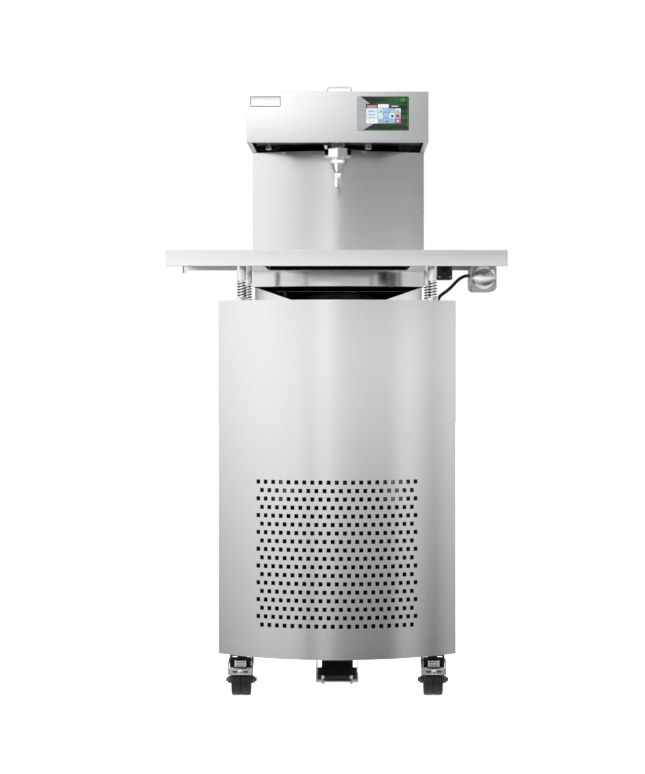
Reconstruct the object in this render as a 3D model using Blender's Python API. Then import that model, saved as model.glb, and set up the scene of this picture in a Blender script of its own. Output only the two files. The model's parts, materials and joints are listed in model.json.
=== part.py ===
"""Chocolate tempering machine with a sprung, vibrating mould table.

Metres, +Z up, the operator stands at -Y. The origin is on the floor, at the middle of the
machine's width and depth.
"""

import math

import bmesh
import bpy
from mathutils import Matrix

# Overall sizes
TOTAL_DEPTH = 0.920
GAP = 0.0003
SHEET = 0.002
BOW_RADIUS = 0.4475
RUNNING_CLEARANCE = 0.0005
CUT_PAST = 0.010
WELD_DEPTH = 0.001

# Cabinet
CABINET_WIDTH = 0.572
CABINET_HEIGHT = 0.851
CABINET_BOTTOM = 0.104
CABINET_SETBACK = 0.047
PAN_RAISE = 0.002
PAN_THICKNESS = 0.003
GLAND_X = -0.200
GLAND_Z = 0.230
GLAND_RADIUS = 0.012
GLAND_FLANGE_RADIUS = 0.017
GLAND_BORE_RADIUS = 0.0045
GLAND_REACH = 0.0015
GLAND_TAIL = 0.014
GLAND_FLANGE = 0.006
LINE_X = -0.150
LINE_SETBACK = 0.080
LINE_RADIUS = 0.006
LINE_HOLE_RADIUS = 0.020

# Compressor, condenser and electrics
COMPRESSOR_X = -0.130
COMPRESSOR_SETBACK = 0.260
COMPRESSOR_HEIGHT = 0.203
COMPRESSOR_RADIUS = 0.080
COMPRESSOR_WALL = 0.008
COMPRESSOR_SIDE = 0.130
COMPRESSOR_FLANGE = 0.015
FAN_RADIUS = 0.105
FAN_Z = 0.300
FAN_SETBACK = 0.310
FAN_HALF_DEPTH = 0.024
FAN_HUB_RADIUS = 0.024
FAN_BLADES = 5
FAN_BLADE_SHEET = 0.0024
FAN_BLADE_ANGLE = 62
FAN_MOTOR_RADIUS = 0.030
FAN_MOTOR_LENGTH = 0.048
CONDENSER_HALF = 0.150
CONDENSER_SETBACK = 0.220
CONDENSER_DEPTH = 0.030
SHROUD_SPACE = 0.014
CONTROL_BOX_LOW = (0.060, 0.060)
CONTROL_BOX_SIZE = (0.180, 0.140, 0.260)

# Column
COLUMN_WIDTH = 0.446
COLUMN_SPACE = 0.017
COLUMN_SETBACK = 0.020
COLUMN_RAISE = 0.044
COLUMN_FLOOR = 0.003
SKIRT_RETURN = 0.005
BRACKET_OUTER = 0.218
BRACKET_INNER = 0.098
BRACKET_PLATE = 0.013
BRACKET_WEB = 0.018
BRACKET_INSET = 0.008
DOME_RADIUS = 0.153
DOME_HEIGHT = 0.034

# Bowl, stirrer and lid
BOWL_SETBACK = 0.195
BOWL_RADIUS = 0.160
BOWL_DEPTH = 0.317
BOWL_RIM = 0.012
BOWL_CORNER = 0.040
STIRRER_SHAFT_RADIUS = 0.009
STIRRER_SHAFT_DROP = 0.034
STIRRER_HUB_RADIUS = 0.020
STIRRER_WALL_SPACE = 0.018
STIRRER_BLADE_WIDTH = 0.032
STIRRER_BLADE_HEIGHT = 0.200
GEARMOTOR_RADIUS = 0.050
GEARMOTOR_NECK_RADIUS = 0.018
GEARMOTOR_DROP = 0.040
GEARMOTOR_NECK = 0.028
LID_HEIGHT = 0.030
LID_EDGE = 0.004
LID_OVERLAP = 0.003
LID_STEPS = 4
HANDLE_WIDTH = 0.074
HANDLE_RISE = 0.038
HANDLE_BAR = 0.009
HANDLE_LEG = 0.008
HANDLE_DEPTH = 0.012
HANDLE_CORNER = 0.004

# Feed screw and riser
SCREW_SPACE = 0.009
RISER_RADIUS = 0.024
RISER_BORE = 0.019
RISER_DROP = 0.046
RISER_RAISE = 0.061
RISER_FLOOR = 0.008
SCREW_SHAFT_RADIUS = 0.006
SCREW_TAIL = 0.020
SCREW_PITCH = 0.036
SCREW_FLIGHT = 0.0025
SCREW_MOTOR_RADIUS = 0.028
SCREW_MOTOR_NECK_RADIUS = 0.014
SCREW_MOTOR_DROP = 0.028
SCREW_MOTOR_NECK = 0.024
PORT_RAISE = 0.057
PORT_RADIUS = 0.010
PORT_WALL = 0.004

# Head
HEAD_WIDTH = 0.450
HEAD_HEIGHT = 0.126
HEAD_OVERHANG = 0.191
HEAD_RAISE = 0.279
HEAD_LIP = 0.012
DISPLAY_X = 0.1125
DISPLAY_RAISE = 0.0713
DISPLAY_WIDTH = 0.128
DISPLAY_HEIGHT = 0.084
DISPLAY_CORNER = 0.003
BEZEL_RIM = 0.0025
BEZEL_DEPTH = 0.004
GLASS_SETBACK = 0.0008
BADGE_X = -0.1787
BADGE_RAISE = 0.101
BADGE_WIDTH = 0.075
BADGE_HEIGHT = 0.025
BADGE_CORNER = 0.002
BADGE_DEPTH = 0.0015
SWITCH_SETBACK = 0.270
SWITCH_RAISE = 0.140
SWITCH_WIDTH = 0.022
SWITCH_HEIGHT = 0.036
SWITCH_FLANGE = 0.002
SWITCH_BODY_DEPTH = 0.016
SWITCH_WALL = 0.0015
ROCKER_GAP_Y = 0.0006
ROCKER_GAP_Z = 0.0012

# Spout
OUTLET_RAISE = 0.036
OUTLET_RADIUS = 0.018
SPOUT_SETBACK = 0.091
NECK_RADIUS = 0.019
NECK_SIDES = 20
NUT_SIDES = 8
NUT_ACROSS = 0.066
NUT_HEIGHT = 0.022
NUT_DROP = 0.008
NOZZLE_REACH = 0.097
NOZZLE_TIP_RADIUS = 0.009
NOZZLE_WALL = 0.002
NOZZLE_TIP_LENGTH = 0.035
NOZZLE_CONE_TOP_RADIUS = 0.0168
NOZZLE_CONE_LENGTH = 0.026

# Vibrating table
TABLE_WIDTH = 0.800
TABLE_DEPTH = 0.460
TABLE_RAISE = 0.115
TABLE_LIP = 0.0375
TABLE_REAR_LIP = 0.031
TABLE_SIDE_LIP = 0.018
TABLE_CORNER = 0.004
RAIL_INNER = 0.177
RAIL_OUTER = 0.239
RAIL_DEPTH = 0.031
POST_X = 0.230
POST_FRONT_SETBACK = 0.140
POST_REAR_SETBACK = 0.030
POST_RADIUS = 0.011
SPRING_SPACE = 0.048
PIN_RADIUS = 0.006
PIN_CLEARANCE = 0.0008
PIN_HEIGHT = 0.075
PIN_CHAMFER = 0.002
CUP_RADIUS = 0.0135
CUP_HEIGHT = 0.007
SPRING_WIRE = 0.0011
SPRING_TURNS = 5.5

# Vibration motor and its wiring
MOTOR_X = 0.3546
MOTOR_DEPTH_BELOW = 0.058
MOTOR_WIDTH = 0.064
MOTOR_SETBACK = 0.175
MOTOR_LENGTH = 0.110
MOTOR_DROP = 0.034
MOTOR_CORNER = 0.012
MOTOR_CHAMBER_RADIUS = 0.024
MOTOR_CHAMBER_DEPTH = 0.030
MOTOR_CAP_RADIUS = 0.029
MOTOR_CAP_LENGTH = 0.016
MOTOR_CAP_WALL = 0.003
WEIGHT_SPACE = 0.003
WEIGHT_SHAFT_RADIUS = 0.005
BEARING_DEPTH = 0.040
BOX_X = 0.263
BOX_WIDTH = 0.036
BOX_SETBACK = 0.210
BOX_DEPTH = 0.060
BOX_HEIGHT = 0.060
BOX_EDGE = 0.002
LEAD_RADIUS = 0.004
LEAD_SETBACK = 0.231

# Castors
CASTOR_SIDES = (("left", -1), ("right", 1))
CASTOR_X = 0.232
SWIVEL_SETBACK = 0.204
SWIVEL_TRAIL = 0.032
REAR_WHEEL_SETBACK = 0.080
WHEEL_RADIUS = 0.0375
WHEEL_WIDTH = 0.046
WHEEL_SIDES = 24
WHEEL_EDGE = 0.004
GROOVE_HALF = 0.002
GROOVE_DEPTH = 0.001
AXLE_RADIUS = 0.005
AXLE_OVERHANG = 0.0095
AXLE_NUT_RADIUS = 0.009
AXLE_NUT_HEIGHT = 0.005
FORK_SHEET = 0.003
FORK_SIDE_GAP = 0.0015
FORK_HALF_DEPTH = 0.024
FORK_ABOVE_WHEEL = 0.0235
FORK_HAUNCH = 0.004
KINGPIN_RADIUS = 0.008
KINGPIN_HEAD = 0.012
RACE_RADIUS = 0.023
PLATE_THICKNESS = 0.003
PLATE_HALF_WIDTH = 0.028
PLATE_FRONT = 0.030
PLATE_BACK = 0.034
BRAKE_AHEAD = 0.036
BRAKE_Z = 0.085
BRAKE_PIN_RADIUS = 0.0025
BRAKE_SIDE_GAP = 0.0007
BRAKE_SHEET = 0.002
BRAKE_PAD_HALF = 0.0135

# Foot pedal
PEDAL_WIDTH = 0.096
PEDAL_NECK_WIDTH = 0.076
PEDAL_SHEET = 0.003
PEDAL_SETBACK = 0.160
PEDAL_HINGE_Z = 0.0445
PEDAL_PIN_RADIUS = 0.0025
PEDAL_KNUCKLE = 0.0025
PEDAL_BASE_Z = 0.034
PEDAL_BASE_DEPTH = 0.120
PEDAL_EAR_TOP = 0.079
PEDAL_EAR_SHEET = 0.0016
PEDAL_SIDE_GAP = 0.0015
PEDAL_HANGER_FOOT = 0.030
PEDAL_BOLT_X = 0.034
PEDAL_BOLT_RADIUS = 0.004

# Finishes: name, colour, roughness, metallic
STEEL = ("brushed stainless steel", (0.68, 0.69, 0.70), 0.32, 1.0)
POLISHED = ("polished stainless steel", (0.74, 0.75, 0.76), 0.14, 1.0)
ZINC = ("zinc plated steel", (0.62, 0.63, 0.65), 0.35, 1.0)
CAST = ("cast aluminium", (0.60, 0.61, 0.62), 0.42, 1.0)
BLACK_PLASTIC = ("black plastic", (0.020, 0.020, 0.022), 0.45, 0.0)
BLACK_PAINT = ("black painted steel", (0.018, 0.018, 0.020), 0.38, 0.0)
BLACK_RUBBER = ("black rubber", (0.022, 0.022, 0.024), 0.60, 0.0)
DARK_STEEL = ("dark spring steel", (0.30, 0.30, 0.31), 0.35, 1.0)
COPPER = ("copper pipe", (0.72, 0.42, 0.27), 0.30, 1.0)
DISPLAY_GLASS = ("display glass", (0.02, 0.06, 0.04), 0.08, 0.0)

# Places that follow from the sizes above
INSET = SHEET + GAP
TABLE_FRONT_Y = -TOTAL_DEPTH / 2
TABLE_BACK_Y = TABLE_FRONT_Y + TABLE_DEPTH
REAR_Y = TOTAL_DEPTH / 2
BACK_Y = REAR_Y - GLAND_REACH
CABINET_APEX_Y = TABLE_FRONT_Y + CABINET_SETBACK
COLUMN_APEX_Y = TABLE_BACK_Y + COLUMN_SPACE
COLUMN_BACK_Y = REAR_Y - COLUMN_SETBACK
BOWL_Y = COLUMN_BACK_Y - BOWL_SETBACK
SCREW_Y = BOWL_Y - BOWL_RADIUS - RISER_RADIUS - SCREW_SPACE
HEAD_FRONT_Y = TABLE_BACK_Y - HEAD_OVERHANG
SPOUT_Y = HEAD_FRONT_Y + SPOUT_SETBACK
SWITCH_Y = COLUMN_BACK_Y - SWITCH_SETBACK
POST_FRONT_Y = TABLE_FRONT_Y + POST_FRONT_SETBACK
POST_REAR_Y = TABLE_BACK_Y - POST_REAR_SETBACK
MOTOR_FRONT_Y = TABLE_FRONT_Y + MOTOR_SETBACK
BOX_FRONT_Y = TABLE_FRONT_Y + BOX_SETBACK
LEAD_Y = TABLE_FRONT_Y + LEAD_SETBACK
FAN_Y = TABLE_FRONT_Y + FAN_SETBACK
CONDENSER_FRONT_Y = TABLE_FRONT_Y + CONDENSER_SETBACK
COMPRESSOR_PLACE = (COMPRESSOR_X, REAR_Y - COMPRESSOR_SETBACK)
LINE_PLACE = (LINE_X, REAR_Y - LINE_SETBACK)
FRONT_SWIVEL_Y = TABLE_FRONT_Y + SWIVEL_SETBACK
FRONT_WHEEL_Y = FRONT_SWIVEL_Y - SWIVEL_TRAIL
BRAKE_PIVOT = (FRONT_SWIVEL_Y - BRAKE_AHEAD, BRAKE_Z)
REAR_WHEEL_Y = REAR_Y - REAR_WHEEL_SETBACK
PEDAL_HINGE_Y = TABLE_FRONT_Y + PEDAL_SETBACK
CABINET_TOP = CABINET_BOTTOM + CABINET_HEIGHT
PAN_BOTTOM = CABINET_BOTTOM + PAN_RAISE
PAN_TOP = PAN_BOTTOM + PAN_THICKNESS
COMPRESSOR_TOP = PAN_TOP + COMPRESSOR_HEIGHT
COLUMN_BOTTOM = CABINET_TOP + COLUMN_RAISE
GEARMOTOR_BASE = COLUMN_BOTTOM + COLUMN_FLOOR + 2 * GAP
TABLE_TOP = CABINET_TOP + TABLE_RAISE
RAIL_BOTTOM = TABLE_TOP - RAIL_DEPTH
POST_BOTTOM = CABINET_TOP + SPRING_SPACE
PIN_TOP = CABINET_TOP + PIN_HEIGHT
MOTOR_Z = TABLE_TOP - MOTOR_DEPTH_BELOW
HEAD_BOTTOM = TABLE_TOP + HEAD_RAISE
HEAD_TOP = HEAD_BOTTOM + HEAD_HEIGHT
COLUMN_TOP = HEAD_BOTTOM - GAP
DISPLAY_Z = HEAD_BOTTOM + DISPLAY_RAISE
BADGE_Z = HEAD_BOTTOM + BADGE_RAISE
SWITCH_Z = TABLE_TOP + SWITCH_RAISE
BOWL_BOTTOM = HEAD_TOP - BOWL_DEPTH
PORT_HEIGHT = BOWL_BOTTOM + PORT_RAISE
RISER_BOTTOM = BOWL_BOTTOM - RISER_DROP
RISER_TOP = HEAD_BOTTOM + RISER_RAISE
OUTLET_HEIGHT = HEAD_BOTTOM + OUTLET_RAISE
NUT_TOP = HEAD_BOTTOM - NUT_DROP
NOZZLE_BOTTOM = NUT_TOP - NOZZLE_REACH
LID_RADIUS = BOWL_RADIUS + BOWL_RIM + LID_OVERLAP
LID_TOP = HEAD_TOP + SHEET + 2 * GAP + LID_HEIGHT
LINE_HEIGHT = RISER_BOTTOM + 0.022
FORK_TOP = 2 * WHEEL_RADIUS + FORK_ABOVE_WHEEL
FORK_INNER = WHEEL_WIDTH / 2 + FORK_SIDE_GAP
FORK_OUTER = FORK_INNER + FORK_SHEET


def clear_scene():
    for old in list(bpy.data.objects):
        bpy.data.objects.remove(old, do_unlink=True)


def material_of(kind):
    name, colour, roughness, metallic = kind
    made = bpy.data.materials.get(name)
    if made is None:
        made = bpy.data.materials.new(name)
        made.use_nodes = True
        shader = made.node_tree.nodes["Principled BSDF"]
        shader.inputs["Base Color"].default_value = (*colour, 1.0)
        shader.inputs["Roughness"].default_value = roughness
        shader.inputs["Metallic"].default_value = metallic
        made.diffuse_color = (*colour, 1.0)
    return made


def add_object(name, body, kind, place=(0.0, 0.0, 0.0), smooth=False):
    """Make an object from a bmesh whose points are relative to place."""
    bmesh.ops.remove_doubles(body, verts=body.verts, dist=0.00001)
    bmesh.ops.recalc_face_normals(body, faces=body.faces)
    mesh = bpy.data.meshes.new(name)
    body.to_mesh(mesh)
    body.free()
    if smooth:
        mesh.shade_smooth()
        mesh.set_sharp_from_angle(angle=math.radians(35))
    obj = bpy.data.objects.new(name, mesh)
    bpy.context.scene.collection.objects.link(obj)
    obj.location = place
    if kind is not None:
        mesh.materials.append(material_of(kind))
    return obj


def box(low, high):
    """A bmesh box between two corners."""
    body = bmesh.new()
    size = [high[i] - low[i] for i in range(3)]
    middle = [(high[i] + low[i]) / 2 for i in range(3)]
    placed = Matrix.Translation(middle) @ Matrix.Diagonal((*size, 1.0))
    bmesh.ops.create_cube(body, size=1.0, matrix=placed)
    return body


def prism(outline, low, high, axis="Z"):
    """Extrude an outline of (a, b) points from low to high along an axis."""
    orders = {
        "X": lambda a, b, c: (c, a, b),
        "Y": lambda a, b, c: (a, c, b),
        "Z": lambda a, b, c: (a, b, c),
    }
    order = orders[axis]
    body = bmesh.new()
    face = body.faces.new([body.verts.new(order(a, b, low)) for a, b in outline])
    pushed = bmesh.ops.extrude_face_region(body, geom=[face])
    moved = [item for item in pushed["geom"] if isinstance(item, bmesh.types.BMVert)]
    bmesh.ops.translate(body, verts=moved, vec=order(0.0, 0.0, high - low))
    return body


def turned(profile, axis="Z", sides=32, closed=False):
    """Spin a profile of (radius, height) points about an axis."""
    body = bmesh.new()
    verts = [body.verts.new((radius, 0.0, height)) for radius, height in profile]
    pairs = list(zip(verts, verts[1:]))
    if closed:
        pairs.append((verts[-1], verts[0]))
    edges = [body.edges.new(pair) for pair in pairs]
    bmesh.ops.spin(
        body,
        geom=verts + edges,
        cent=(0, 0, 0),
        axis=(0, 0, 1),
        angle=2 * math.pi,
        steps=sides,
        use_merge=True,
    )
    half_side = Matrix.Rotation(math.pi / sides, 4, "Z")
    turns = {
        "Z": Matrix.Identity(4),
        "X": Matrix.Rotation(math.pi / 2, 4, "Y"),
        "Y": Matrix.Rotation(-math.pi / 2, 4, "X"),
    }
    bmesh.ops.transform(body, matrix=turns[axis] @ half_side, verts=body.verts)
    bmesh.ops.remove_doubles(body, verts=body.verts, dist=0.00001)
    return body


def rod(radius, low, high, axis="Z", sides=16):
    return turned([(0.0, low), (radius, low), (radius, high), (0.0, high)], axis, sides)


def as_helper(obj):
    obj.hide_render = True
    obj.display_type = "WIRE"


def combine(obj, operation, body, place=(0.0, 0.0, 0.0)):
    """Join a body to an object, or cut it away, with an exact Boolean."""
    number = len(obj.modifiers) + 1
    helper = add_object(f"{obj.name}_{operation.lower()}_{number}", body, None, place)
    as_helper(helper)
    modifier = obj.modifiers.new(helper.name, "BOOLEAN")
    modifier.operation = operation
    modifier.solver = "EXACT"
    modifier.object = helper


def join(obj, body, place=(0.0, 0.0, 0.0)):
    combine(obj, "UNION", body, place)


def cut(obj, body, place=(0.0, 0.0, 0.0)):
    combine(obj, "DIFFERENCE", body, place)


def bow_y(x, apex_y, radius=BOW_RADIUS):
    return apex_y + radius - math.sqrt(radius * radius - x * x)


def bow_points(width, apex_y, radius=BOW_RADIUS, steps=24):
    """Points along a bowed front, from -X to +X."""
    half_angle = math.asin(width / 2 / radius)
    points = []
    for step in range(steps + 1):
        angle = -half_angle + 2 * half_angle * step / steps
        points.append((radius * math.sin(angle), apex_y + radius * (1 - math.cos(angle))))
    return points


def bowed_outline(width, apex_y, back_y, inset=0.0):
    """Plan of a box with a bowed front, inset all round."""
    front = bow_points(width - 2 * inset, apex_y + inset, BOW_RADIUS - inset)
    half = width / 2 - inset
    return front + [(half, back_y - inset), (-half, back_y - inset)]


def rounded_rectangle(half_x, half_y, radius, steps=4):
    points = []
    for turn, (sign_x, sign_y) in enumerate(((1, 1), (-1, 1), (-1, -1), (1, -1))):
        centre = (sign_x * (half_x - radius), sign_y * (half_y - radius))
        for step in range(steps + 1):
            angle = math.pi / 2 * (turn + step / steps)
            points.append((centre[0] + radius * math.cos(angle), centre[1] + radius * math.sin(angle)))
    return points


def curve_tube(name, points, radius, kind, resolution=2):
    """A tube along a list of points, with filled ends."""
    curve = bpy.data.curves.new(name, "CURVE")
    curve.dimensions = "3D"
    curve.bevel_depth = radius
    curve.bevel_resolution = resolution
    curve.use_fill_caps = True
    spline = curve.splines.new("POLY")
    spline.points.add(len(points) - 1)
    for point, place in zip(spline.points, points):
        point.co = (*place, 1.0)
    curve.materials.append(material_of(kind))
    obj = bpy.data.objects.new(name, curve)
    bpy.context.scene.collection.objects.link(obj)
    return obj


def spline_point(before, start, end, after, share):
    """A point between start and end on a smooth curve through all four."""
    point = []
    for a, b, c, d in zip(before, start, end, after):
        slope = (c - a) * share
        bend = (2 * a - 5 * b + 4 * c - d) * share ** 2
        twist = (3 * b - a - 3 * c + d) * share ** 3
        point.append((2 * b + slope + bend + twist) / 2)
    return tuple(point)


def smooth_route(corners, spacing):
    """Spaced points on a smooth curve through the corners, with its two end stretches straight."""
    kept = [corners[0], corners[1]]
    last_bend = corners[-2]
    for i in range(1, len(corners) - 2):
        for step in range(1, 21):
            point = spline_point(*corners[i - 1 : i + 3], step / 20)
            if math.dist(point, kept[-1]) >= spacing and math.dist(point, last_bend) >= spacing / 2:
                kept.append(point)
    return kept + [last_bend, corners[-1]]


# Cabinet


def make_floor_pan():
    outline = bowed_outline(CABINET_WIDTH, CABINET_APEX_Y, BACK_Y, INSET)
    add_object("floor_pan", prism(outline, PAN_BOTTOM, PAN_TOP), STEEL)


def front_panel_end_y():
    """Where the inner corner of the bowed front panel ends."""
    half_angle = math.asin(CABINET_WIDTH / 2 / BOW_RADIUS)
    return CABINET_APEX_Y + BOW_RADIUS - (BOW_RADIUS - SHEET) * math.cos(half_angle)


def make_front_panel():
    half_angle = math.asin(CABINET_WIDTH / 2 / BOW_RADIUS)
    inner_width = 2 * (BOW_RADIUS - SHEET) * math.sin(half_angle)
    outer = bow_points(CABINET_WIDTH, CABINET_APEX_Y)
    inner = bow_points(inner_width, CABINET_APEX_Y + SHEET, BOW_RADIUS - SHEET)
    outline = outer + inner[::-1]
    add_object("front_panel", prism(outline, CABINET_BOTTOM, CABINET_TOP), STEEL, smooth=True)


def make_side_panels():
    front_y = front_panel_end_y() + GAP
    back_y = BACK_Y - SHEET - GAP
    half = CABINET_WIDTH / 2
    for name, low_x in (("left_side_panel", -half), ("right_side_panel", half - SHEET)):
        panel = box((low_x, front_y, CABINET_BOTTOM), (low_x + SHEET, back_y, CABINET_TOP))
        add_object(name, panel, STEEL)


def make_rear_panel():
    half = CABINET_WIDTH / 2
    panel = box((-half, BACK_Y - SHEET, CABINET_BOTTOM), (half, BACK_Y, CABINET_TOP))
    rear = add_object("rear_panel", panel, STEEL)
    hole = rod(GLAND_RADIUS + GAP, BACK_Y - CUT_PAST, BACK_Y + CUT_PAST, "Y", 12)
    cut(rear, hole, gland_centre())


def gland_centre():
    return (GLAND_X, 0.0, GLAND_Z)


def make_cable_gland():
    collar = BACK_Y - SHEET - GAP
    face = BACK_Y + GLAND_REACH
    bore = GLAND_BORE_RADIUS
    barrel = [
        (bore, collar - GLAND_TAIL), (GLAND_RADIUS, collar - GLAND_TAIL), (GLAND_RADIUS, face), (bore, face),
    ]
    gland = add_object(
        "cable_gland", turned(barrel, "Y", 12, closed=True), BLACK_PLASTIC, gland_centre(), True
    )
    flange = [
        (bore, collar - GLAND_FLANGE), (GLAND_FLANGE_RADIUS, collar - GLAND_FLANGE),
        (GLAND_FLANGE_RADIUS, collar), (bore, collar),
    ]
    join(gland, turned(flange, "Y", 12, closed=True), gland_centre())


def post_places():
    """Each post's (x, y), left then right, front then rear."""
    return [(side * POST_X, y) for side in (-1, 1) for y in (POST_FRONT_Y, POST_REAR_Y)]


def make_cabinet_top():
    outline = bowed_outline(CABINET_WIDTH, CABINET_APEX_Y, BACK_Y, INSET)
    top = add_object("cabinet_top", prism(outline, CABINET_TOP - PAN_THICKNESS, CABINET_TOP), STEEL)
    cup_top = CABINET_TOP + CUP_HEIGHT
    pin = [
        (0.0, CABINET_TOP - WELD_DEPTH), (CUP_RADIUS, CABINET_TOP - WELD_DEPTH), (CUP_RADIUS, cup_top),
        (PIN_RADIUS, cup_top), (PIN_RADIUS, PIN_TOP - PIN_CHAMFER), (PIN_RADIUS - PIN_CHAMFER, PIN_TOP),
        (0.0, PIN_TOP),
    ]
    for x, y in post_places():
        join(top, turned(pin, "Z", 14), (x, y, 0.0))
    cut(top, rod(LINE_HOLE_RADIUS, CABINET_TOP - CUT_PAST, CABINET_TOP + CUT_PAST), (*LINE_PLACE, 0.0))


def make_compressor():
    """A domed can on a base flange, open underneath."""
    base = PAN_TOP + GAP
    shoulder = base + COMPRESSOR_SIDE
    rise = COMPRESSOR_TOP - shoulder
    steps = 5

    def dome(inset):
        points = []
        for step in range(steps + 1):
            angle = math.pi / 2 * (1 - step / steps)
            radius = (COMPRESSOR_RADIUS - inset) * math.cos(angle) if step else 0.0
            points.append((radius, shoulder + (rise - inset) * math.sin(angle)))
        return points

    flange_radius = COMPRESSOR_RADIUS + COMPRESSOR_FLANGE
    outer = dome(0.0) + [(COMPRESSOR_RADIUS - 0.002, base + 0.012)]
    flange = [(flange_radius, base + 0.006), (flange_radius, base)]
    inner = [(COMPRESSOR_RADIUS - COMPRESSOR_WALL, base)] + dome(COMPRESSOR_WALL)[::-1]
    can = turned(outer + flange + inner, "Z", 20)
    add_object("compressor", can, BLACK_PAINT, (*COMPRESSOR_PLACE, 0.0), True)


def make_condenser():
    """Finned block with the fan's sheet shroud, cross bar and motor behind it."""
    low = PAN_TOP + GAP
    high = FAN_Z + CONDENSER_HALF
    half = CONDENSER_HALF
    fan_centre = (0.0, 0.0, FAN_Z)
    block_back = CONDENSER_FRONT_Y + CONDENSER_DEPTH
    block = box((-half, CONDENSER_FRONT_Y, low), (half, block_back, high))
    made = add_object("condenser", block, CAST)
    back = FAN_Y + FAN_HALF_DEPTH + SHROUD_SPACE
    join(made, box((-half, block_back - WELD_DEPTH, low), (half, back, high)))
    cut(made, box((-half + SHEET, block_back, low + SHEET), (half - SHEET, back - SHEET, high - SHEET)))
    cut(made, rod(FAN_RADIUS + 2 * SHEET, back - CUT_PAST, back + CUT_PAST, "Y", 32), fan_centre)
    reach = FAN_RADIUS + 0.010
    join(made, box((-reach, back - 0.009, FAN_Z - 0.008), (reach, back - WELD_DEPTH, FAN_Z + 0.008)))
    motor_front = FAN_Y + FAN_HALF_DEPTH + SHEET
    join(made, rod(FAN_MOTOR_RADIUS, motor_front, motor_front + FAN_MOTOR_LENGTH, "Y"), fan_centre)


def make_fan_wheel():
    centre = (0.0, FAN_Y, FAN_Z)
    half = FAN_HALF_DEPTH
    hub = rod(FAN_HUB_RADIUS, 0.004 - half, half - 0.004, "Y")
    wheel = add_object("fan_wheel", hub, BLACK_PLASTIC, centre, True)
    for blade in range(FAN_BLADES):
        side = FAN_BLADE_SHEET / 2
        shape = box((FAN_HUB_RADIUS - 0.004, -side, -half), (FAN_RADIUS - 0.003, side, half))
        pitch = Matrix.Rotation(math.radians(FAN_BLADE_ANGLE), 4, "X")
        around = Matrix.Rotation(2 * math.pi * blade / FAN_BLADES, 4, "Y")
        bmesh.ops.transform(shape, matrix=around @ pitch, verts=shape.verts)
        join(wheel, shape, centre)


def make_control_box():
    low = (*CONTROL_BOX_LOW, PAN_TOP + GAP)
    high = tuple(start + size for start, size in zip(low, CONTROL_BOX_SIZE))
    add_object("control_box", box(low, high), BLACK_PLASTIC)


# Column


def make_column_shell():
    """A bowed shell whose rear wall runs on down to the cabinet, with the hole for the switch."""
    low = CABINET_TOP + GAP
    half = COLUMN_WIDTH / 2
    outline = bowed_outline(COLUMN_WIDTH, COLUMN_APEX_Y, COLUMN_BACK_Y)
    shell = add_object("column_shell", prism(outline, low, COLUMN_TOP), STEEL, smooth=True)
    inner = bowed_outline(COLUMN_WIDTH, COLUMN_APEX_Y, COLUMN_BACK_Y, SHEET)
    cut(shell, prism(inner, low - CUT_PAST, COLUMN_TOP + CUT_PAST))
    opening_back = COLUMN_BACK_Y - SKIRT_RETURN
    cut(shell, box((-half - CUT_PAST, COLUMN_APEX_Y - CUT_PAST, low - CUT_PAST),
                   (half + CUT_PAST, opening_back, COLUMN_BOTTOM)))
    half_y = SWITCH_WIDTH / 2 - SHEET + GAP
    half_z = SWITCH_HEIGHT / 2 - SHEET + GAP
    cut(shell, box((half - CUT_PAST, SWITCH_Y - half_y, SWITCH_Z - half_z),
                   (half + CUT_PAST, SWITCH_Y + half_y, SWITCH_Z + half_z)))


def make_column_floor():
    outline = bowed_outline(COLUMN_WIDTH, COLUMN_APEX_Y, COLUMN_BACK_Y, INSET)
    low = COLUMN_BOTTOM + GAP
    floor = add_object("column_floor", prism(outline, low, low + COLUMN_FLOOR), STEEL)
    cut(floor, rod(LINE_HOLE_RADIUS, low - CUT_PAST, low + CUT_PAST), (*LINE_PLACE, 0.0))


def make_support_brackets():
    """A side rail with a sloping web at its front and at its back."""
    low = CABINET_TOP + GAP
    high = COLUMN_BOTTOM - GAP
    front_y = bow_y(BRACKET_OUTER, COLUMN_APEX_Y) + BRACKET_INSET
    back_y = COLUMN_BACK_Y - BRACKET_INSET
    for name, side in (("left_support_bracket", -1), ("right_support_bracket", 1)):
        outer = side * BRACKET_OUTER
        rail_x = sorted((outer, side * (BRACKET_OUTER - BRACKET_PLATE)))
        rail = box((rail_x[0], front_y, low), (rail_x[1], back_y, high))
        bracket = add_object(name, rail, POLISHED)
        web = [(outer, low), (side * BRACKET_INNER, low), (side * BRACKET_INNER, low + SHEET), (outer, high)]
        join(bracket, prism(web, front_y - 2 * WELD_DEPTH, front_y + BRACKET_WEB, "Y"))
        join(bracket, prism(web, back_y - BRACKET_WEB, back_y + WELD_DEPTH, "Y"))


def make_gearbox_cover():
    """A shallow dome of sheet, open underneath."""
    low = CABINET_TOP + GAP
    sphere = (DOME_RADIUS ** 2 + DOME_HEIGHT ** 2) / (2 * DOME_HEIGHT)
    half_angle = math.asin(DOME_RADIUS / sphere)
    centre = low + DOME_HEIGHT - sphere
    steps = 5

    def arc(radius, floor):
        points = []
        for step in range(steps + 1):
            angle = half_angle * (1 - step / steps)
            points.append((radius * math.sin(angle), max(floor, centre + radius * math.cos(angle))))
        return points

    profile = arc(sphere, low)[::-1] + arc(sphere - SHEET, low)
    add_object("gearbox_cover", turned(profile, "Z", 32), POLISHED, (0.0, BOWL_Y, 0.0), True)


def gearmotor_profile(radius, top, neck_radius, neck_top, shaft_radius):
    """Section of an upright gearmotor with a hollow neck round the shaft."""
    bore = shaft_radius + RUNNING_CLEARANCE
    socket = top + 0.004
    return [
        (0.0, GEARMOTOR_BASE), (radius, GEARMOTOR_BASE), (radius, top), (neck_radius, top),
        (neck_radius, neck_top), (bore, neck_top), (bore, socket), (0.0, socket),
    ]


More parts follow.
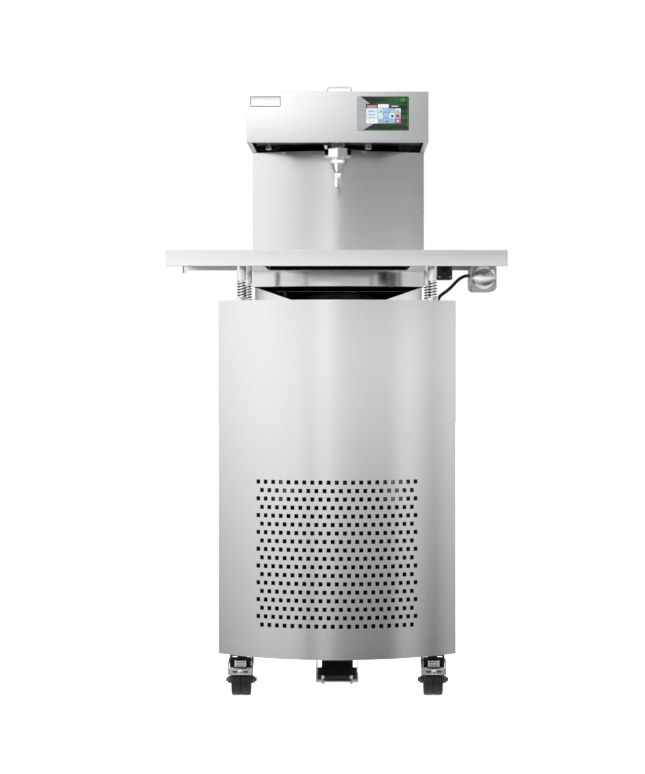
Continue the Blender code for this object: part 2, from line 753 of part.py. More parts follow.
def make_stirrer_gearmotor():
    top = BOWL_BOTTOM - GEARMOTOR_DROP
    profile = gearmotor_profile(
        GEARMOTOR_RADIUS, top, GEARMOTOR_NECK_RADIUS, top + GEARMOTOR_NECK, STIRRER_SHAFT_RADIUS
    )
    add_object("stirrer_gearmotor", turned(profile, "Z", 28), CAST, (0.0, BOWL_Y, 0.0), True)


def make_screw_gearmotor():
    top = RISER_BOTTOM - SCREW_MOTOR_DROP
    profile = gearmotor_profile(
        SCREW_MOTOR_RADIUS, top, SCREW_MOTOR_NECK_RADIUS, top + SCREW_MOTOR_NECK, SCREW_SHAFT_RADIUS
    )
    add_object("screw_gearmotor", turned(profile, "Z", 24), CAST, (0.0, SCREW_Y, 0.0), True)


def make_riser_tube():
    """The feed screw's barrel, with a port from the bowl and one to the outlet."""
    place = (0.0, SCREW_Y, 0.0)
    riser = add_object("riser_tube", rod(RISER_RADIUS, RISER_BOTTOM, RISER_TOP, "Z", 20), POLISHED, place, True)
    bowl_wall = BOWL_Y - BOWL_RADIUS - GAP - RUNNING_CLEARANCE
    port = (0.0, 0.0, PORT_HEIGHT)
    join(riser, rod(PORT_RADIUS + PORT_WALL, SCREW_Y + 0.006, bowl_wall, "Y", 18), port)
    cut(riser, rod(RISER_BORE, RISER_BOTTOM + RISER_FLOOR, RISER_TOP + CUT_PAST, "Z", 20), place)
    shaft_hole = rod(SCREW_SHAFT_RADIUS + RUNNING_CLEARANCE, RISER_BOTTOM - CUT_PAST, RISER_BOTTOM + 0.020)
    cut(riser, shaft_hole, place)
    cut(riser, rod(PORT_RADIUS, SCREW_Y + 0.005, bowl_wall + CUT_PAST, "Y", 18), port)
    cut(riser, rod(PORT_RADIUS, SCREW_Y - 0.040, SCREW_Y - 0.005, "Y", 18), (0.0, 0.0, OUTLET_HEIGHT))


def helix_flight(inner, outer, low, high, pitch, thickness, steps_per_turn=8):
    """One turn after another of a flat screw flight, as a closed body."""
    body = bmesh.new()
    count = int(round((high - low) / pitch * steps_per_turn))
    rings = []
    for step in range(count + 1):
        angle = 2 * math.pi * step / steps_per_turn
        height = low + (high - low) * step / count
        ring = []
        for radius, lift in ((inner, 0.0), (outer, 0.0), (outer, thickness), (inner, thickness)):
            place = (radius * math.cos(angle), radius * math.sin(angle), height + lift)
            ring.append(body.verts.new(place))
        rings.append(ring)
    for before, after in zip(rings, rings[1:]):
        for i in range(4):
            j = (i + 1) % 4
            body.faces.new((before[i], before[j], after[j], after[i]))
    body.faces.new(rings[0])
    body.faces.new(rings[-1][::-1])
    return body


def make_feed_screw():
    place = (0.0, SCREW_Y, 0.0)
    shaft = rod(SCREW_SHAFT_RADIUS, RISER_BOTTOM - SCREW_TAIL, RISER_TOP - 0.006, "Z", 12)
    screw = add_object("feed_screw", shaft, POLISHED, place, True)
    radius = RISER_BORE - 0.0012
    low = RISER_BOTTOM + RISER_FLOOR + 0.004
    flight = helix_flight(SCREW_SHAFT_RADIUS - 0.002, radius, low, RISER_TOP - 0.020, SCREW_PITCH, SCREW_FLIGHT)
    join(screw, flight, place)


def make_bowl():
    rim = HEAD_TOP + GAP
    inner = BOWL_RADIUS - SHEET
    shaft_hole = STIRRER_SHAFT_RADIUS + RUNNING_CLEARANCE
    low = BOWL_BOTTOM
    outer_wall = [
        (shaft_hole, low), (BOWL_RADIUS - BOWL_CORNER, low),
        (BOWL_RADIUS - 0.3 * BOWL_CORNER, low + 0.3 * BOWL_CORNER),
        (BOWL_RADIUS, low + BOWL_CORNER), (BOWL_RADIUS, rim), (BOWL_RADIUS + BOWL_RIM, rim),
    ]
    inner_wall = [
        (BOWL_RADIUS + BOWL_RIM, rim + SHEET), (inner, rim + SHEET), (inner, low + BOWL_CORNER),
        (BOWL_RADIUS - 0.325 * BOWL_CORNER, low + 0.3375 * BOWL_CORNER),
        (BOWL_RADIUS - BOWL_CORNER - 0.0005, low + SHEET), (shaft_hole, low + SHEET),
    ]
    profile = outer_wall + inner_wall
    bowl = add_object("bowl", turned(profile, "Z", 36, closed=True), POLISHED, (0.0, BOWL_Y, 0.0), True)
    wall = BOWL_Y - BOWL_RADIUS
    cut(bowl, rod(PORT_RADIUS, wall - CUT_PAST, wall + CUT_PAST, "Y", 18), (0.0, 0.0, PORT_HEIGHT))


def make_stirrer():
    place = (0.0, BOWL_Y, 0.0)
    floor = BOWL_BOTTOM + SHEET
    tail = BOWL_BOTTOM - STIRRER_SHAFT_DROP
    reach = BOWL_RADIUS - STIRRER_WALL_SPACE
    shaft = [
        (0.0, tail), (STIRRER_SHAFT_RADIUS, tail), (STIRRER_SHAFT_RADIUS, floor + 0.004),
        (STIRRER_HUB_RADIUS, floor + 0.006), (STIRRER_HUB_RADIUS, floor + 0.060),
        (STIRRER_HUB_RADIUS / 2, floor + 0.110), (0.0, floor + 0.110),
    ]
    stirrer = add_object("stirrer", turned(shaft, "Z", 24), POLISHED, place, True)
    for side in (-1, 1):
        arm_x = sorted((side * 0.012, side * (reach - STIRRER_BLADE_WIDTH + 0.004)))
        join(stirrer, box((arm_x[0], -0.003, floor + 0.010), (arm_x[1], 0.003, floor + 0.040)), place)
        blade_x = sorted((side * (reach - STIRRER_BLADE_WIDTH), side * reach))
        blade_top = floor + STIRRER_BLADE_HEIGHT
        join(stirrer, box((blade_x[0], -0.002, floor + 0.020), (blade_x[1], 0.004, blade_top)), place)


# Head and spout


def make_head_shell():
    half = HEAD_WIDTH / 2
    back = COLUMN_BACK_Y
    head = add_object("head_shell", box((-half, HEAD_FRONT_Y, HEAD_BOTTOM), (half, back, HEAD_TOP)), STEEL)
    cut(head, box((-half + SHEET, HEAD_FRONT_Y + SHEET, HEAD_BOTTOM + SHEET),
                  (half - SHEET, back - SHEET, HEAD_TOP - SHEET)))
    cut(head, box((-half + HEAD_LIP, HEAD_FRONT_Y + HEAD_LIP, HEAD_BOTTOM - CUT_PAST),
                  (half - HEAD_LIP, back - HEAD_LIP, HEAD_BOTTOM + CUT_PAST)))
    hole = rod(BOWL_RADIUS + WELD_DEPTH, HEAD_TOP - CUT_PAST, HEAD_TOP + CUT_PAST, "Z", 48)
    cut(head, hole, (0.0, BOWL_Y, 0.0))


def make_outlet_manifold():
    """Pipe from the riser forward to the spout, with the welded neck."""
    back = SCREW_Y - RISER_RADIUS - GAP
    centre = (0.0, 0.0, OUTLET_HEIGHT)
    spout = (0.0, SPOUT_Y, 0.0)
    pipe = rod(OUTLET_RADIUS, SPOUT_Y - NECK_RADIUS, back, "Y")
    manifold = add_object("outlet_manifold", pipe, POLISHED, centre, True)
    neck_low = NUT_TOP - NUT_HEIGHT / 2
    join(manifold, rod(NECK_RADIUS, neck_low, OUTLET_HEIGHT, "Z", NECK_SIDES), spout)
    cut(manifold, rod(PORT_RADIUS, SPOUT_Y, back + CUT_PAST, "Y", 18), centre)
    cut(manifold, rod(PORT_RADIUS, neck_low - CUT_PAST, OUTLET_HEIGHT, "Z", 18), spout)


def make_union_nut():
    """Octagonal nut, one corner to the front."""
    spout = (0.0, SPOUT_Y, 0.0)
    radius = NUT_ACROSS / 2
    turns = [2 * math.pi * corner / NUT_SIDES for corner in range(NUT_SIDES)]
    corners = [(radius * math.cos(turn), radius * math.sin(turn)) for turn in turns]
    low = NUT_TOP - NUT_HEIGHT
    nut = add_object("union_nut", prism(corners, low, NUT_TOP), POLISHED, spout)
    cut(nut, rod(NECK_RADIUS + GAP, low - CUT_PAST, NUT_TOP + CUT_PAST, "Z", NECK_SIDES), spout)


def make_nozzle():
    top = NUT_TOP - NUT_HEIGHT / 2 - GAP
    bore = NOZZLE_TIP_RADIUS - NOZZLE_WALL
    cone_low = NOZZLE_BOTTOM + NOZZLE_TIP_LENGTH
    cone_high = cone_low + NOZZLE_CONE_LENGTH
    profile = [
        (bore, NOZZLE_BOTTOM), (NOZZLE_TIP_RADIUS, NOZZLE_BOTTOM), (NOZZLE_TIP_RADIUS, cone_low),
        (NOZZLE_CONE_TOP_RADIUS, cone_high), (NECK_RADIUS, cone_high + WELD_DEPTH), (NECK_RADIUS, top), (bore, top),
    ]
    nozzle = turned(profile, "Z", NECK_SIDES, closed=True)
    add_object("nozzle", nozzle, POLISHED, (0.0, SPOUT_Y, 0.0), True)


def make_display():
    half_x = DISPLAY_WIDTH / 2
    half_z = DISPLAY_HEIGHT / 2
    back = HEAD_FRONT_Y - GAP
    front = back - BEZEL_DEPTH
    centre = (DISPLAY_X, 0.0, DISPLAY_Z)
    outline = rounded_rectangle(half_x, half_z, DISPLAY_CORNER)
    bezel = add_object("display_bezel", prism(outline, front, back, "Y"), BLACK_PLASTIC, centre)
    rim = BEZEL_RIM
    window = rounded_rectangle(half_x - rim, half_z - rim, DISPLAY_CORNER - 0.001)
    cut(bezel, prism(window, front - CUT_PAST, back + CUT_PAST, "Y"), centre)
    pane = rounded_rectangle(half_x - rim - GAP, half_z - rim - GAP, DISPLAY_CORNER - 0.0012)
    add_object("display_glass", prism(pane, front + GLASS_SETBACK, back, "Y"), DISPLAY_GLASS, centre)


def make_badge():
    outline = rounded_rectangle(BADGE_WIDTH / 2, BADGE_HEIGHT / 2, BADGE_CORNER)
    back = HEAD_FRONT_Y - GAP
    add_object("badge_plate", prism(outline, back - BADGE_DEPTH, back, "Y"), POLISHED, (BADGE_X, 0.0, BADGE_Z))


def lid_fall(radius):
    """How far the lid's middle facet has fallen below its crown at this radius."""
    angle = math.pi / 2 * (LID_STEPS - 1) / LID_STEPS
    return (LID_HEIGHT - LID_EDGE) * (1 - math.sin(angle)) * radius / (LID_RADIUS * math.cos(angle))


def make_lid():
    low = LID_TOP - LID_HEIGHT
    edge = low + LID_EDGE
    outer = [(LID_RADIUS, low), (LID_RADIUS, edge)]
    for step in range(1, LID_STEPS + 1):
        angle = math.pi / 2 * step / LID_STEPS
        radius = LID_RADIUS * math.cos(angle) if step < LID_STEPS else 0.0
        outer.append((radius, edge + (LID_TOP - edge) * math.sin(angle)))
    inner = [(LID_RADIUS - SHEET, low)]
    for radius, height in outer[1:-1]:
        inner.append((radius - SHEET, height - SHEET / 2))
    inner.append((0.0, LID_TOP - SHEET))
    profile = outer[::-1] + inner
    add_object("lid", turned(profile, "Z", 32), STEEL, (0.0, BOWL_Y, 0.0), True)


def make_lid_handle():
    half = HANDLE_WIDTH / 2
    inner = half - HANDLE_LEG
    low = LID_TOP + GAP - lid_fall(inner)
    high = LID_TOP + GAP + HANDLE_RISE
    under_bar = high - HANDLE_BAR
    corner = HANDLE_CORNER
    outline = [(-half, low), (-inner, low), (-inner, under_bar), (inner, under_bar), (inner, low), (half, low)]
    outline += [(half, high - corner), (half - corner, high), (-half + corner, high), (-half, high - corner)]
    handle = prism(outline, -HANDLE_DEPTH / 2, HANDLE_DEPTH / 2, "Y")
    add_object("lid_handle", handle, POLISHED, (0.0, BOWL_Y, 0.0))


def make_power_switch():
    outer_x = COLUMN_WIDTH / 2
    half_y = SWITCH_WIDTH / 2
    half_z = SWITCH_HEIGHT / 2
    centre = (0.0, SWITCH_Y, SWITCH_Z)
    face_x = outer_x + GAP + SWITCH_FLANGE
    frame = add_object(
        "switch_frame", box((outer_x + GAP, -half_y, -half_z), (face_x, half_y, half_z)), BLACK_PLASTIC, centre
    )
    body_y = half_y - SHEET
    body_z = half_z - SHEET
    back_x = outer_x - SWITCH_BODY_DEPTH
    join(frame, box((back_x, -body_y, -body_z), (face_x - SWITCH_FLANGE / 2, body_y, body_z)), centre)
    bore_y = body_y - SWITCH_WALL
    bore_z = body_z - SWITCH_WALL
    cut(frame, box((back_x - CUT_PAST, -bore_y, -bore_z), (face_x + CUT_PAST, bore_y, bore_z)), centre)
    reach_y = bore_y - ROCKER_GAP_Y
    reach_z = bore_z - ROCKER_GAP_Z
    outline = [(-0.008, -0.004), (-0.008, 0.004), (0.0012, reach_z), (0.0042, reach_z), (0.0026, 0.0)]
    outline += [(0.0042, -reach_z), (0.0012, -reach_z)]
    rocker = prism(outline, -reach_y, reach_y, "Y")
    add_object("switch_rocker", rocker, BLACK_PLASTIC, (outer_x, SWITCH_Y, SWITCH_Z))


# Vibrating table


def make_table_top():
    """A tray turned upside down, with lips of their own depth at the front, the sides and the rear."""
    half_x = TABLE_WIDTH / 2
    half_y = TABLE_DEPTH / 2
    corner = 2 * TABLE_CORNER
    low = TABLE_TOP - TABLE_LIP
    centre = (0.0, (TABLE_FRONT_Y + TABLE_BACK_Y) / 2, 0.0)
    outline = rounded_rectangle(half_x, half_y, TABLE_CORNER)
    table = add_object("table_top", prism(outline, low, TABLE_TOP), STEEL, centre)
    inner = rounded_rectangle(half_x - SHEET, half_y - SHEET, TABLE_CORNER - SHEET)
    cut(table, prism(inner, low - CUT_PAST, TABLE_TOP - SHEET), centre)
    cut(table, box((-half_x + corner, half_y - corner, low - CUT_PAST),
                   (half_x - corner, half_y + CUT_PAST, TABLE_TOP - TABLE_REAR_LIP)), centre)
    for side in (-1, 1):
        low_x, high_x = sorted((side * (half_x - corner), side * (half_x + CUT_PAST)))
        cut(table, box((low_x, corner - half_y, low - CUT_PAST),
                       (high_x, half_y - corner, TABLE_TOP - TABLE_SIDE_LIP)), centre)


def make_table_rails():
    """Up-turned channels under the table, each with two welded posts."""
    high = TABLE_TOP - SHEET - GAP
    front = TABLE_FRONT_Y + SHEET + WELD_DEPTH
    back = TABLE_BACK_Y - SHEET - WELD_DEPTH
    wall = SHEET
    bore = PIN_RADIUS + PIN_CLEARANCE
    weld = RAIL_BOTTOM + WELD_DEPTH
    bore_end = RAIL_BOTTOM - SHEET
    post = [
        (bore, POST_BOTTOM), (POST_RADIUS, POST_BOTTOM), (POST_RADIUS, weld), (0.0, weld),
        (0.0, bore_end), (bore, bore_end), (bore, POST_BOTTOM),
    ]
    for name, side in (("left_table_rail", -1), ("right_table_rail", 1)):
        low_x, high_x = sorted((side * RAIL_INNER, side * RAIL_OUTER))
        outline = [
            (low_x, high), (low_x, RAIL_BOTTOM), (high_x, RAIL_BOTTOM), (high_x, high),
            (high_x - wall, high), (high_x - wall, RAIL_BOTTOM + wall),
            (low_x + wall, RAIL_BOTTOM + wall), (low_x + wall, high),
        ]
        rail = add_object(name, prism(outline, front, back, "Y"), STEEL)
        for y in (POST_FRONT_Y, POST_REAR_Y):
            join(rail, turned(post, "Z", 16), (side * POST_X, y, 0.0))


def make_springs():
    low = CABINET_TOP + CUP_HEIGHT + SPRING_WIRE + GAP
    high = POST_BOTTOM - SPRING_WIRE - GAP
    coil_radius = POST_RADIUS - SPRING_WIRE
    steps_per_turn = 8
    steps = int(SPRING_TURNS * steps_per_turn)
    names = ("front_left_spring", "rear_left_spring", "front_right_spring", "rear_right_spring")
    for name, (x, y) in zip(names, post_places()):
        points = []
        for step in range(steps + 1):
            angle = 2 * math.pi * step / steps_per_turn
            height = low + (high - low) * step / steps
            points.append((x + coil_radius * math.cos(angle), y + coil_radius * math.sin(angle), height))
        curve_tube(name, points, SPRING_WIRE, DARK_STEEL, 1)


def make_vibration_motor():
    """Motor housing with its foot plate under the table, and the chamber of its weight."""
    half = MOTOR_WIDTH / 2
    high = TABLE_TOP - SHEET - GAP
    low = MOTOR_Z - MOTOR_DROP
    corner = MOTOR_CORNER
    outline = [(-half, high), (-half, low + corner)]
    for step in range(1, 5):
        angle = math.pi + math.pi / 2 * step / 4
        outline.append((-half + corner + corner * math.cos(angle), low + corner + corner * math.sin(angle)))
    for step in range(5):
        angle = 1.5 * math.pi + math.pi / 2 * step / 4
        outline.append((half - corner + corner * math.cos(angle), low + corner + corner * math.sin(angle)))
    outline.append((half, high))
    back = MOTOR_FRONT_Y + MOTOR_LENGTH
    place = (MOTOR_X, 0.0, 0.0)
    motor = add_object("vibration_motor", prism(outline, MOTOR_FRONT_Y, back, "Y"), CAST, place)
    axle = (MOTOR_X, 0.0, MOTOR_Z)
    chamber_back = MOTOR_FRONT_Y + MOTOR_CHAMBER_DEPTH
    cut(motor, rod(MOTOR_CHAMBER_RADIUS, MOTOR_FRONT_Y - CUT_PAST, chamber_back, "Y", 28), axle)
    bearing_radius = WEIGHT_SHAFT_RADIUS + RUNNING_CLEARANCE
    cut(motor, rod(bearing_radius, MOTOR_FRONT_Y, chamber_back + BEARING_DEPTH, "Y"), axle)


def make_motor_cap():
    back = MOTOR_FRONT_Y - GAP
    front = back - MOTOR_CAP_LENGTH
    outer = MOTOR_CAP_RADIUS
    inner = outer - MOTOR_CAP_WALL
    inside = front + MOTOR_CAP_WALL
    profile = [
        (0.0, front), (inner, front), (outer, inside), (outer, back), (inner, back), (inner, inside), (0.0, inside),
    ]
    add_object("motor_end_cap", turned(profile, "Y", 32), CAST, (MOTOR_X, 0.0, MOTOR_Z), True)


def make_eccentric_weight():
    """A half disc on a shaft, with room all round it in its chamber."""
    place = (MOTOR_X, 0.0, MOTOR_Z)
    front = MOTOR_FRONT_Y + WEIGHT_SPACE
    chamber_back = MOTOR_FRONT_Y + MOTOR_CHAMBER_DEPTH
    shaft = rod(WEIGHT_SHAFT_RADIUS, front, chamber_back + BEARING_DEPTH - WEIGHT_SPACE, "Y")
    weight = add_object("eccentric_weight", shaft, ZINC, place, True)
    radius = MOTOR_CHAMBER_RADIUS - WEIGHT_SPACE
    steps = 14
    turns = [math.pi * (1 + step / steps) for step in range(steps + 1)]
    outline = [(radius * math.cos(turn), radius * math.sin(turn)) for turn in turns]
    join(weight, prism(outline, front + WEIGHT_SPACE, chamber_back - WEIGHT_SPACE, "Y"), place)


def make_terminal_box():
    high = TABLE_TOP - SHEET - GAP
    low_x = BOX_X - BOX_WIDTH / 2
    shape = box((low_x, BOX_FRONT_Y, high - BOX_HEIGHT), (low_x + BOX_WIDTH, BOX_FRONT_Y + BOX_DEPTH, high))
    box_object = add_object("terminal_box", shape, BLACK_PLASTIC)
    bevel = box_object.modifiers.new("rounded edges", "BEVEL")
    bevel.width = BOX_EDGE
    bevel.segments = 1


def make_motor_lead():
    """Lead from the motor's side, down under the terminal box, into the cabinet top."""
    motor_side = MOTOR_X - MOTOR_WIDTH / 2 - GAP - 0.0002
    exit_z = TABLE_TOP - 0.052
    entry_x = BOX_X - 0.015
    corners = [
        (motor_side, LEAD_Y + 0.004, exit_z),
        (motor_side - 0.005, LEAD_Y + 0.004, exit_z),
        (motor_side - 0.022, LEAD_Y + 0.002, exit_z - 0.008),
        (BOX_X + 0.013, LEAD_Y - 0.002, CABINET_TOP + 0.030),
        (BOX_X - 0.009, LEAD_Y - 0.001, CABINET_TOP + 0.016),
        (entry_x, LEAD_Y, CABINET_TOP + 0.008),
        (entry_x, LEAD_Y, CABINET_TOP + GAP + 0.0002),
    ]
    curve_tube("motor_lead", smooth_route(corners, 2.2 * LEAD_RADIUS), LEAD_RADIUS, BLACK_RUBBER, 2)


def make_suction_line():
    """Refrigerant pipe from the compressor up through both sheets to the feed screw's barrel."""
    low_x, low_y = COMPRESSOR_PLACE
    line_x, line_y = LINE_PLACE
    jacket = -RISER_RADIUS - GAP - 0.0008
    corners = [
        (low_x, low_y, COMPRESSOR_TOP + GAP + 0.0002),
        (low_x, low_y, COMPRESSOR_TOP + 0.015),
        (low_x, low_y, COMPRESSOR_TOP + 0.045),
        (low_x - 0.004, low_y + 0.060, COMPRESSOR_TOP + 0.128),
        (line_x, line_y, COMPRESSOR_TOP + 0.328),
        (line_x, line_y, CABINET_TOP - 0.155),
        (line_x, line_y, CABINET_TOP),
        (line_x, line_y, COLUMN_BOTTOM),
        (line_x, line_y, COLUMN_BOTTOM + 0.041),
        (line_x, line_y - 0.040, LINE_HEIGHT - 0.044),
        (line_x + 0.020, line_y - 0.160, LINE_HEIGHT - 0.006),
        (line_x + 0.050, line_y - 0.270, LINE_HEIGHT),
        (-0.065, SCREW_Y + 0.002, LINE_HEIGHT),
        (jacket - 0.015, SCREW_Y, LINE_HEIGHT),
        (jacket, SCREW_Y, LINE_HEIGHT),
    ]
    curve_tube("suction_line", smooth_route(corners, 4.5 * LINE_RADIUS), LINE_RADIUS, COPPER, 2)


# Castors


def build_fork(name, x, axle_place, pivot_y, top, crown_low):
    """Folded fork: one outline across the whole width, hollowed for the wheel, then its axle."""
    axle_y, axle_z = axle_place
    haunch = crown_low - FORK_HAUNCH
    back_y = pivot_y + FORK_HALF_DEPTH
    front_y = min(axle_y - 0.012, pivot_y - FORK_HALF_DEPTH)
    outline = [
        (front_y, top), (front_y, haunch), (axle_y - 0.011, axle_z + 0.004), (axle_y - 0.008, axle_z - 0.008),
        (axle_y + 0.008, axle_z - 0.008), (axle_y + 0.012, axle_z + 0.004), (back_y, haunch), (back_y, top),
    ]
    place = (x, 0.0, 0.0)
    axle = (x, *axle_place)
    fork = add_object(name, prism(outline, -FORK_OUTER, FORK_OUTER, "X"), ZINC, place)
    pocket = box((-FORK_INNER, front_y - CUT_PAST, 0.0), (FORK_INNER, back_y + CUT_PAST, crown_low))
    cut(fork, pocket, place)
    reach = FORK_OUTER + AXLE_OVERHANG
    join(fork, rod(AXLE_RADIUS, -reach, reach, "X"), axle)
    for side in (-1, 1):
        ends = sorted((side * (FORK_OUTER - WELD_DEPTH), side * (FORK_OUTER + AXLE_NUT_HEIGHT)))
        join(fork, rod(AXLE_NUT_RADIUS, ends[0], ends[1], "X", 6), axle)
    return fork


def make_front_castors():
    """Each has a top plate with its kingpin and race, and a fork that swivels on it."""
    axle_place = (FRONT_WHEEL_Y, WHEEL_RADIUS)
    high = PAN_BOTTOM - GAP
    weld = high - WELD_DEPTH
    head_low = FORK_TOP - KINGPIN_HEAD
    head_radius = KINGPIN_RADIUS + 0.004
    kingpin = [
        (0.0, head_low), (head_radius, head_low), (head_radius, head_low + 0.004),
        (KINGPIN_RADIUS, head_low + 0.005), (KINGPIN_RADIUS, weld), (0.0, weld),
    ]
    race_low = FORK_TOP + 2 * GAP
    race = [(0.0, race_low), (RACE_RADIUS - 0.002, race_low), (RACE_RADIUS, weld), (0.0, weld)]
    crown_low = FORK_TOP - FORK_SHEET
    for side_name, side in CASTOR_SIDES:
        x = side * CASTOR_X
        pivot = (x, FRONT_SWIVEL_Y, 0.0)
        sheet = box((-PLATE_HALF_WIDTH, -PLATE_FRONT, high - PLATE_THICKNESS), (PLATE_HALF_WIDTH, PLATE_BACK, high))
        plate = add_object(f"front_{side_name}_castor_plate", sheet, ZINC, pivot)
        join(plate, turned(kingpin, "Z", 16), pivot)
        join(plate, turned(race, "Z", 16), pivot)
        fork = build_fork(f"front_{side_name}_castor_fork", x, axle_place, FRONT_SWIVEL_Y, FORK_TOP, crown_low)
        pin_hole = rod(KINGPIN_RADIUS + RUNNING_CLEARANCE, crown_low - CUT_PAST, FORK_TOP + CUT_PAST)
        cut(fork, pin_hole, pivot)
        brake_hole = rod(BRAKE_PIN_RADIUS + 0.0004, -FORK_OUTER - CUT_PAST, FORK_OUTER + CUT_PAST, "X", 16)
        cut(fork, brake_hole, (x, *BRAKE_PIVOT))


def make_rear_castors():
    axle_place = (REAR_WHEEL_Y, WHEEL_RADIUS)
    high = PAN_BOTTOM - GAP
    crown_low = FORK_TOP - FORK_SHEET
    for side_name, side in CASTOR_SIDES:
        x = side * CASTOR_X
        name = f"rear_{side_name}_castor_bracket"
        bracket = build_fork(name, x, axle_place, REAR_WHEEL_Y, high - WELD_DEPTH, crown_low)
        plate = box((-PLATE_HALF_WIDTH, -PLATE_BACK, high - PLATE_THICKNESS), (PLATE_HALF_WIDTH, PLATE_BACK, high))
        join(bracket, plate, (x, REAR_WHEEL_Y, 0.0))


def make_wheels():
    """Wheels whose flat lowest facet just meets the floor, each with a fine groove round its tread."""
    corner = WHEEL_RADIUS / math.cos(math.pi / WHEEL_SIDES)
    half = WHEEL_WIDTH / 2
    bore = AXLE_RADIUS + RUNNING_CLEARANCE
    edge = WHEEL_EDGE
    floor = corner - GROOVE_DEPTH
    profile = [
        (bore, -half), (corner - edge, -half), (corner, -half + edge), (corner, -GROOVE_HALF),
        (floor, -GROOVE_HALF / 2), (floor, GROOVE_HALF / 2), (corner, GROOVE_HALF), (corner, half - edge),
        (corner - edge, half), (bore, half),
    ]
    rows = (("front", FRONT_WHEEL_Y), ("rear", REAR_WHEEL_Y))
    for row_name, wheel_y in rows:
        for side_name, side in CASTOR_SIDES:
            wheel = turned(profile, "X", WHEEL_SIDES, closed=True)
            place = (side * CASTOR_X, wheel_y, WHEEL_RADIUS)
            add_object(f"{row_name}_{side_name}_wheel", wheel, BLACK_RUBBER, place, True)


def make_brake_levers():
    """Lever round the front of the fork: two arms on a pin, a wide brake bar and a release pad."""
    inner = FORK_OUTER + BRAKE_SIDE_GAP
    outer = inner + BRAKE_SHEET
    arms = [
        (0.005, 0.004), (-0.004, 0.006), (-0.030, 0.000), (-0.049, -0.014), (-0.049, -0.028),
        (-0.044, -0.028), (-0.040, -0.017), (-0.012, -0.007), (0.003, -0.006),
    ]
    pad = [(-0.0485, -0.019), (-0.0445, -0.019), (-0.034, 0.0055), (-0.038, 0.0055)]
    for side_name, side in CASTOR_SIDES:
        place = (side * CASTOR_X, *BRAKE_PIVOT)
        lever = add_object(f"front_{side_name}_brake_lever", prism(arms, -outer, outer, "X"), ZINC, place)
        cut(lever, box((-inner, -0.045, -0.040), (inner, 0.010, 0.020)), place)
        join(lever, prism(pad, -BRAKE_PAD_HALF, BRAKE_PAD_HALF, "X"), place)
        join(lever, rod(BRAKE_PIN_RADIUS, -outer + 0.0005, outer - 0.0005, "X", 16), place)


# Foot pedal


def make_pedal_bracket():
    """Base plate with two ears, the hinge pin, and a narrower hanger up to the floor pan."""
    half = PEDAL_WIDTH / 2 + PEDAL_SIDE_GAP
    outer = half + PEDAL_EAR_SHEET
    low = PEDAL_BASE_Z
    front = PEDAL_HINGE_Y - 0.010
    back = front + PEDAL_BASE_DEPTH
    bracket = add_object("pedal_bracket", box((-outer, front, low), (outer, back, low + PEDAL_SHEET)), STEEL)
    ears = [
        (front, low), (back, low), (back, PEDAL_EAR_TOP), (front + 0.040, PEDAL_EAR_TOP), (front, low + 0.016),
    ]
    for side in (-1, 1):
        ends = sorted((side * half, side * outer))
        join(bracket, prism(ears, ends[0], ends[1], "X"))
    high = PAN_BOTTOM - GAP
    foot = back + PEDAL_HANGER_FOOT
    hanger = [
        (back - PEDAL_SHEET, low), (back, low), (back, high - PEDAL_SHEET), (foot, high - PEDAL_SHEET),
        (foot, high), (back - PEDAL_SHEET, high),
    ]
    hanger_half = PEDAL_NECK_WIDTH / 2 - PEDAL_SHEET
    join(bracket, prism(hanger, -hanger_half, hanger_half, "X"))
    pin = rod(PEDAL_PIN_RADIUS, -outer - WELD_DEPTH, outer + WELD_DEPTH, "X", 20)
    join(bracket, pin, (0.0, PEDAL_HINGE_Y, PEDAL_HINGE_Z))
    head = PEDAL_BOLT_RADIUS
    bolt = [
        (0.0, low - 0.006), (head - 0.001, low - 0.006), (head, low - 0.004), (head, low + WELD_DEPTH),
        (0.0, low + WELD_DEPTH),
    ]
    for side in (-1, 1):
        join(bracket, turned(bolt, "Z", 16), (side * PEDAL_BOLT_X, front + 0.012, 0.0))


def make_pedal_plate():
    """Heel-hinged plate that rises to the back: a wide tread, a bend and a narrower toe."""
    place = (0.0, PEDAL_HINGE_Y, PEDAL_HINGE_Z)
    t = PEDAL_SHEET
    half = PEDAL_WIDTH / 2
    tread = [
        (-0.006, -0.004), (-0.006, 0.000), (0.026, 0.020), (0.026 + t, 0.020 - t), (0.004, 0.004), (0.000, -0.005),
    ]
    knuckle = rod(PEDAL_PIN_RADIUS + PEDAL_KNUCKLE, -half, half, "X", 20)
    plate = add_object("pedal_plate", knuckle, BLACK_PAINT, place)
    join(plate, prism(tread, -half, half, "X"), place)
    toe = [
        (0.022, 0.0175), (0.040, 0.0290), (0.044, 0.0330), (0.052, 0.0520), (0.055, 0.0508), (0.0465, 0.0310),
        (0.042, 0.0265), (0.026, 0.0160),
    ]
    join(plate, prism(toe, -PEDAL_NECK_WIDTH / 2, PEDAL_NECK_WIDTH / 2, "X"), place)
    cut(plate, rod(PEDAL_PIN_RADIUS + GAP, -half - CUT_PAST, half + CUT_PAST, "X", 20), place)


def make_cabinet():
    make_floor_pan()
    make_front_panel()
    make_side_panels()
    make_rear_panel()
    make_cable_gland()
    make_cabinet_top()
    make_compressor()
    make_condenser()
    make_fan_wheel()
    make_control_box()
    make_suction_line()


def make_column():
    make_column_shell()
    make_column_floor()
    make_support_brackets()
    make_gearbox_cover()
    make_stirrer_gearmotor()
    make_screw_gearmotor()
    make_riser_tube()
    make_feed_screw()
    make_bowl()
    make_stirrer()


def make_head():
    make_head_shell()
    make_outlet_manifold()
    make_union_nut()
    make_nozzle()
    make_display()
    make_badge()
    make_lid()
    make_lid_handle()
    make_power_switch()


def make_table():
    make_table_top()
    make_table_rails()
    make_springs()
    make_vibration_motor()
    make_motor_cap()
    make_eccentric_weight()
    make_terminal_box()
    make_motor_lead()


